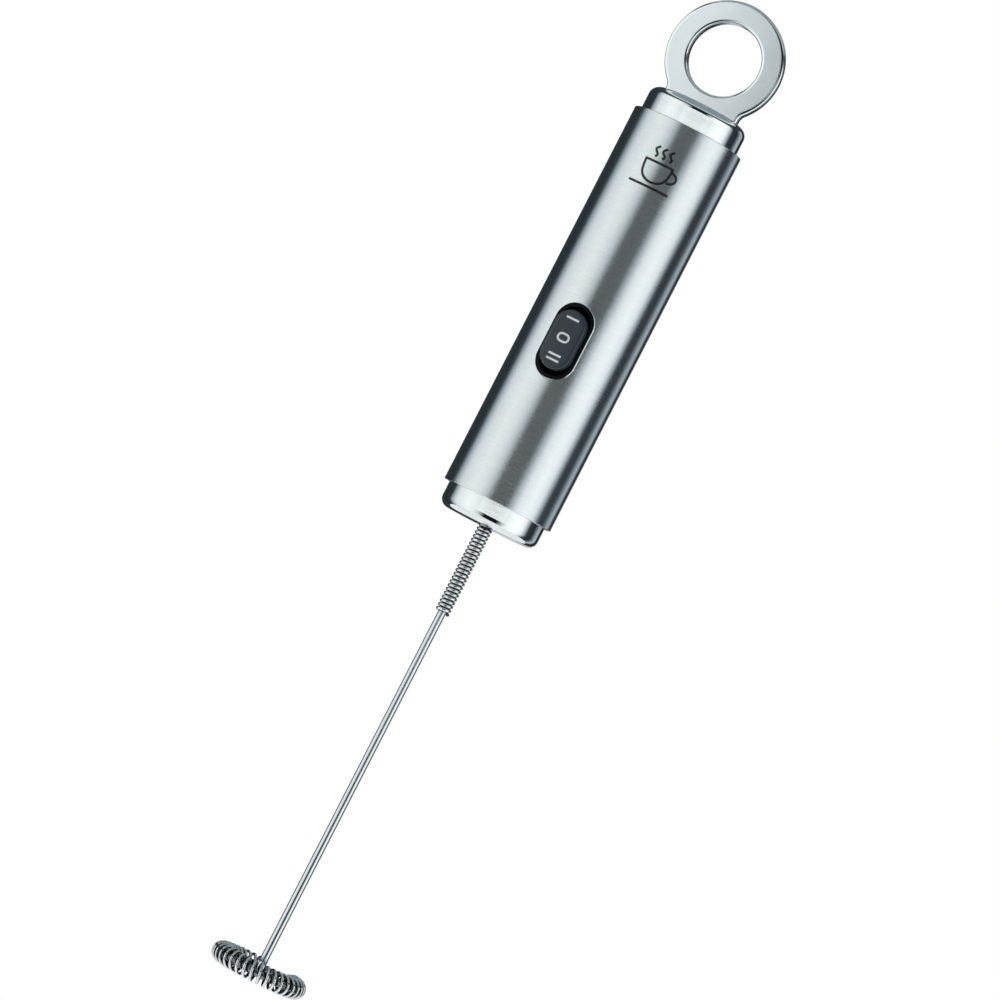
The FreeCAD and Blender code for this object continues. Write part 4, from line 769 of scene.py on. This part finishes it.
# ---------------------------------------------------------------- hanging ring
def ring_outline():
    """The plate's outline, anticlockwise, as (spot, way out, share of the edge rounding)."""
    # The tab's side runs into the ring by a hollow arc: its middle is outside both.
    fillet_x = TAB_HALF_WIDTH + TAB_FILLET
    fillet_z = -math.sqrt((RING_R + TAB_FILLET) ** 2 - fillet_x ** 2)
    join_angle = math.atan2(fillet_z, fillet_x)
    spots = []
    for index in range(TAB_POINTS):
        x = TAB_HALF_WIDTH * (index + 0.5 - TAB_POINTS / 2) / (TAB_POINTS / 2)
        spots.append((Vector((x, CAP_TOP)), Vector((0, 0)), 0))
    side = [(Vector((TAB_HALF_WIDTH, CAP_TOP)), Vector((1, 0)), 1)]
    if fillet_z > CAP_TOP:
        side.append((Vector((TAB_HALF_WIDTH, fillet_z)), Vector((1, 0)), 1))
    centre = Vector((fillet_x, fillet_z))
    for angle in even(math.pi, join_angle + math.pi, 10):
        arm = Vector((math.cos(angle), math.sin(angle)))
        spot = centre + arm * TAB_FILLET
        if spot.y > CAP_TOP + TINY:
            side.append((spot, -arm, 1))
    for angle in even(join_angle, math.pi / 2, 84)[1:]:
        arm = Vector((math.cos(angle), math.sin(angle)))
        side.append((arm * RING_R, arm, 1))
    mirror = []
    for spot, out, share in reversed(side[:-1]):
        mirror.append((Vector((-spot.x, spot.y)), Vector((-out.x, out.y)), share))
    return spots + side + mirror


def ring_mesh():
    """The plate: its hollowed faces, rounded edges and hole."""
    outline = ring_outline()
    points = []
    faces = []
    straight = RING_HALF_THICKNESS - RING_EDGE

    def face_y(x):
        return RING_HALF_THICKNESS - RING_DISH * (x / RING_R) ** 2

    def loop(spots, depths):
        start = len(points)
        points.extend((spot.x, depth, spot.y) for spot, depth in zip(spots, depths))
        return list(range(start, len(points)))

    def half(sign):
        """Loops from the middle of the outer wall over one face to the middle of the hole."""
        loops = []
        for angle in (0, 15, 30, 45, 60, 75, 90):
            drop = RING_EDGE * (1 - math.cos(math.radians(angle)))
            lift = RING_EDGE * math.sin(math.radians(angle))
            spots = [spot - out * drop * share for spot, out, share in outline]
            depths = []
            for spot, (_, _, share) in zip(spots, outline):
                top = face_y(spot.x)
                rounded = straight + lift * (top - straight) / RING_EDGE
                depths.append(sign * (rounded if share else straight + (top - straight) * angle / 90))
            loops.append(loop(spots, depths))
        rim = [spot - out * RING_EDGE * share for spot, out, share in outline]
        hole = []
        for spot, _, _ in outline:
            hole.append(spot.normalized() * (RING_HOLE_R + RING_EDGE))
        for share in (0.03, 0.15, 0.3, 0.45, 0.6, 0.75, 0.88, 0.98, 1.0):
            spots = [far.lerp(near, share) for far, near in zip(rim, hole)]
            loops.append(loop(spots, [sign * face_y(spot.x) for spot in spots]))
        for angle in (75, 60, 45, 30, 15, 0):
            drop = RING_EDGE * (1 - math.cos(math.radians(angle)))
            lift = RING_EDGE * math.sin(math.radians(angle))
            spots = [spot.normalized() * (RING_HOLE_R + drop) for spot in hole]
            depths = [sign * (straight + lift * (face_y(spot.x) - straight) / RING_EDGE) for spot in spots]
            loops.append(loop(spots, depths))
        return loops

    front = half(-1)
    back = half(1)
    chain = front + list(reversed(back))
    for first, second in zip(chain, chain[1:] + chain[:1]):
        stitch(first, second, faces)
    return points, faces


# ---------------------------------------------------------------- rocker
def stadium(half_width, straight, steps=28):
    """A stadium outline with its long side on Z, anticlockwise, as (spot, way out)."""
    outline = []
    for start, middle in ((0, straight), (math.pi, -straight)):
        for angle in even(start, start + math.pi, steps):
            out = Vector((math.cos(angle), math.sin(angle)))
            outline.append((Vector((0, middle)) + out * half_width, out))
    return outline


def rocker_face(x, z):
    """The rocker's softly crowned face: its depth on Y at a place from its middle."""
    across = x / ROCKER_HALF_WIDTH
    along = z / (ROCKER_STRAIGHT + ROCKER_HALF_WIDTH)
    return ROCKER_FACE + MARK_PROUD + ROCKER_CROWN * (0.7 * across ** 2 + 0.3 * along ** 2)


def rocker_mesh():
    """The button with its hub."""
    outline = stadium(ROCKER_HALF_WIDTH, ROCKER_STRAIGHT)
    points = []
    faces = []

    def loop(spots, depths):
        start = len(points)
        points.extend((spot.x, depth, WINDOW_Z + spot.y) for spot, depth in zip(spots, depths))
        return list(range(start, len(points)))

    def inset(amount):
        return [spot - out * amount for spot, out in outline]

    loops = [loop(inset(ROCKER_BACK_EDGE), [ROCKER_BACK] * len(outline))]
    loops.append(loop(inset(0), [ROCKER_BACK - ROCKER_BACK_EDGE] * len(outline)))
    brow = [rocker_face(spot.x, spot.y) + ROCKER_EDGE for spot, _ in outline]
    loops.append(loop(inset(0), [depth + GUARD for depth in brow]))
    for angle in (0, 18, 36, 54, 72, 90):
        amount = ROCKER_EDGE * (1 - math.cos(math.radians(angle)))
        rise = ROCKER_EDGE * math.sin(math.radians(angle))
        spots = inset(amount)
        loops.append(loop(spots, [depth - rise for depth in brow]))
    for amount in (0.58, 1.2, 2.0, 3.0, 4.0, 4.5):
        spots = inset(amount)
        loops.append(loop(spots, [rocker_face(spot.x, spot.y) for spot in spots]))
    for first, second in zip(loops, loops[1:]):
        stitch(first, second, faces)
    faces.append(tuple(reversed(loops[0])))
    faces.append(tuple(loops[-1]))
    return merged((points, faces), hub_mesh())


def hub_mesh():
    """The rocker's hub and web, which carry its pins."""
    arc = [math.radians(angle) for angle in range(-90, 91, 15)]
    outline = [(PIVOT_Y + ROCKER_HUB_R * math.cos(a), ROCKER_HUB_R * math.sin(a)) for a in arc]
    web = ROCKER_BACK - ROCKER_HUB_TUCK
    outline = [(web, -ROCKER_HUB_R)] + outline + [(web, ROCKER_HUB_R)]
    points = []
    faces = []
    rows = []
    for x in (-ROCKER_HUB_HALF, ROCKER_HUB_HALF):
        rows.append(list(range(len(points), len(points) + len(outline))))
        points.extend((x, y, WINDOW_Z + z) for y, z in outline)
    stitch(rows[0], rows[1], faces)
    faces.append(tuple(reversed(rows[0])))
    faces.append(tuple(rows[1]))
    return points, faces


def inlay(path, width, surface, depth, closed=False):
    """A printed line along a flat path, laid on surface(x, z, lift) and sunk by depth."""
    count = len(path)
    points = []
    rows = [[], [], [], []]
    for index, here in enumerate(path):
        before = path[(index - 1) % count] if closed or index > 0 else here
        after = path[(index + 1) % count] if closed or index < count - 1 else here
        along = (after - before).normalized()
        side = Vector((-along.y, along.x)) * width / 2
        left = here - side
        right = here + side
        for row, (spot, lift) in zip(rows, ((left, 0), (right, 0), (right, -depth), (left, -depth))):
            row.append(len(points))
            points.append(surface(spot.x, spot.y, lift))
    faces = []
    for first, second in zip(rows, rows[1:] + rows[:1]):
        stitch(first, second, faces, closed)
    if not closed:
        faces.append((rows[3][0], rows[2][0], rows[1][0], rows[0][0]))
        faces.append((rows[0][-1], rows[1][-1], rows[2][-1], rows[3][-1]))
    return points, faces


def on_rocker(x, z, lift):
    """A place on the button's face, from its middle."""
    return (x, rocker_face(x, z) - MARK_PROUD - lift, WINDOW_Z + z)


def marks_mesh():
    """The switch's three marks: one bar, a long ring and two bars."""
    meshes = []
    for rise in MARK_BARS:
        path = [Vector((x, rise)) for x in even(-MARK_HALF, MARK_HALF, 8)]
        meshes.append(inlay(path, MARK_LINE, on_rocker, MARK_DEPTH))
    middle = MARK_HALF - MARK_RING_R
    reach = MARK_RING_R - MARK_LINE / 2
    ring = []
    for start, centre in ((-math.pi / 2, middle), (math.pi / 2, -middle)):
        for angle in even(start, start + math.pi, 14):
            ring.append(Vector((centre + reach * math.cos(angle), MARK_RING_Z + reach * math.sin(angle))))
    meshes.append(inlay(ring, MARK_LINE, on_rocker, MARK_DEPTH, closed=True))
    return merged(*meshes)


# ---------------------------------------------------------------- printed picture
PICTURE_ANGLE = math.radians(4.0)
PICTURE_Z = -37.2
PRINT_LINE = 0.7
PRINT_THICKNESS = 0.02
CUP_BRIM_Z = 1.6  # places in the picture count from its middle
CUP_BRIM_HALF = 4.45
CUP_Z = -0.9
SAUCER_Z = -5.6
SAUCER_HALF = 6.2
STEAMS = (-2.2, 0.0, 2.2)


def on_tube(x, z, lift):
    """A place on the tube's wall, from the picture's middle."""
    angle = PICTURE_ANGLE + x / TUBE_R
    radius = TUBE_R + PRINT_THICKNESS + lift
    return (radius * math.sin(angle), -radius * math.cos(angle), PICTURE_Z + z)


def picture_mesh():
    """A plain picture of a steaming cup, printed below the tube's top end."""
    cup = [Vector((-4.2, CUP_BRIM_Z)), Vector((-4.0, -0.6))]
    for angle in even(math.pi, 2 * math.pi, 20):
        cup.append(Vector((3.9 * math.cos(angle), CUP_Z + 3.3 * math.sin(angle))))
    cup += [Vector((4.0, -0.6)), Vector((4.2, CUP_BRIM_Z))]
    brim = [Vector((x, CUP_BRIM_Z)) for x in even(-CUP_BRIM_HALF, CUP_BRIM_HALF, 14)]
    saucer = [Vector((x, SAUCER_Z)) for x in even(-SAUCER_HALF, SAUCER_HALF, 18)]
    handle = []
    for angle in even(math.radians(95), math.radians(-100), 18):
        handle.append(Vector((4.3 + 1.9 * math.cos(angle), CUP_Z + 1.6 * math.sin(angle))))
    meshes = [inlay(path, PRINT_LINE, on_tube, PRINT_THICKNESS * 2) for path in (cup, brim, saucer, handle)]
    for middle in STEAMS:
        steam = [Vector((middle + 0.5 * math.sin(2.2 * z), z)) for z in even(2.9, 6.1, 20)]
        meshes.append(inlay(steam, PRINT_LINE, on_tube, PRINT_THICKNESS * 2))
    return merged(*meshes)


# ---------------------------------------------------------------- wires
def spring_path():
    """The close-wound spring's middle line, up to the spring's own top."""
    low = SPRING_LOW + SPRING_WIRE_R
    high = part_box("drive_spring")[1][2] / MM - SPRING_WIRE_R
    turns = (high - low) / SPRING_PITCH
    path = []
    for share in even(0, 1, round(turns * WIRE_STEPS)):
        angle = 2 * math.pi * turns * share
        rise = low + (high - low) * share
        path.append(Vector((SPRING_R * math.cos(angle), SPRING_R * math.sin(angle), rise)))
    return path


def spun(path, degrees):
    """A path turned about the axis."""
    turn = Matrix.Rotation(math.radians(degrees), 3, "Z")
    return [turn @ spot for spot in path]


def shaft_path():
    """Down the axis, out along an arm, and round in a ring by a hook."""
    path = [Vector((0, 0, z)) for z in even(SHAFT_TOP, WHISK_Z + WHISK_BEND, 30)]
    for angle in even(0, math.pi / 2, 12)[1:]:
        x = WHISK_BEND * (1 - math.cos(angle))
        path.append(Vector((x, 0, WHISK_Z + WHISK_BEND * (1 - math.sin(angle)))))
    hook_x = math.sqrt((WHISK_RING_R - WHISK_HOOK) ** 2 - WHISK_HOOK ** 2)
    hook_angle = math.atan2(WHISK_HOOK, hook_x)
    path += [Vector((x, 0, WHISK_Z)) for x in even(WHISK_BEND, hook_x, 6)[1:]]
    for angle in even(-math.pi / 2, hook_angle, 12)[1:]:
        x = hook_x + WHISK_HOOK * math.cos(angle)
        path.append(Vector((x, WHISK_HOOK + WHISK_HOOK * math.sin(angle), WHISK_Z)))
    end_angle = 2 * math.pi - math.radians(WHISK_END_ANGLE)
    for angle in even(hook_angle, end_angle, 120)[1:]:
        path.append(Vector((WHISK_RING_R * math.cos(angle), WHISK_RING_R * math.sin(angle), WHISK_Z)))
    return spun(path, WHISK_TURN)


def coil_path():
    """The fine coil's middle line, its two ends closed down onto the ring."""
    closing = COIL_CLOSING / COIL_TURNS
    grip_r = SHAFT_R + COIL_WIRE_R + COIL_PLAY
    full_r = COIL_R - COIL_WIRE_R
    path = []
    for share in even(0, 1, COIL_TURNS * WIRE_STEPS):
        opened = min(1.0, share / closing, (1 - share) / closing)
        small_r = grip_r + (full_r - grip_r) * (1 - math.cos(math.pi * opened)) / 2
        around = math.radians(COIL_GAP / 2 + (360 - COIL_GAP) * share)
        turn = 2 * math.pi * COIL_TURNS * share
        out = WHISK_RING_R + small_r * math.cos(turn)
        rise = WHISK_Z - small_r * math.sin(turn)
        path.append(Vector((out * math.cos(around), out * math.sin(around), rise)))
    return spun(path, WHISK_TURN)


# ---------------------------------------------------------------- the whole
def dress_frame():
    """Every piece that isn't redrawn gets its slot's material."""
    for part in frame["record"]["subparts"]:
        mesh = nodes[part["node"]].data
        mesh.materials.clear()
        mesh.materials.append(MATERIALS[part["material_slot"]])


make_camera()
make_world()
make_floor()
dress_frame()
tube_points, tube_faces, rim_faces = tube_mesh()
tube = make_piece("tube", tube_points, tube_faces, "brushed_tube", ["handle_sleeve"], "handle")
tube.data.materials.append(RIM_STEEL)
for number in rim_faces:
    tube.data.polygons[number].material_index = 1
make_piece("cap_upper", *top_cap_mesh(), "polished_cap", ["top_cap"], "cap")
make_piece("cap_lower", *bottom_cap_mesh(), "polished_cap", ["bottom_cap"], "handle")
make_piece("ring_plate", *ring_mesh(), "ring_steel", ["hanging_ring"], "cap")
make_piece("rocker", *rocker_mesh(), "rocker_plastic", ["rocker_button"], "rocker")
make_piece("rocker_signs", *marks_mesh(), "mark_white", ["rocker_marks"], "rocker")
spring = wire(spring_path(), SPRING_WIRE_R)
make_piece("spring", *spring, "spring_steel", ["drive_spring"], "whisk", WIRE_SHARP)
make_piece("shaft", *wire(shaft_path(), SHAFT_R, 24), "shaft_steel", ["whisk_shaft"], "whisk", WIRE_SHARP)
make_piece("coil", *wire(coil_path(), COIL_WIRE_R), "whisk_steel", ["whisk_coil"], "whisk", WIRE_SHARP)
make_piece("cup_print", *picture_mesh(), "mark_white", (), "handle", material=PRINT_BLACK)
scene.view_settings.view_transform = "Standard"
scene.view_settings.look = "None"
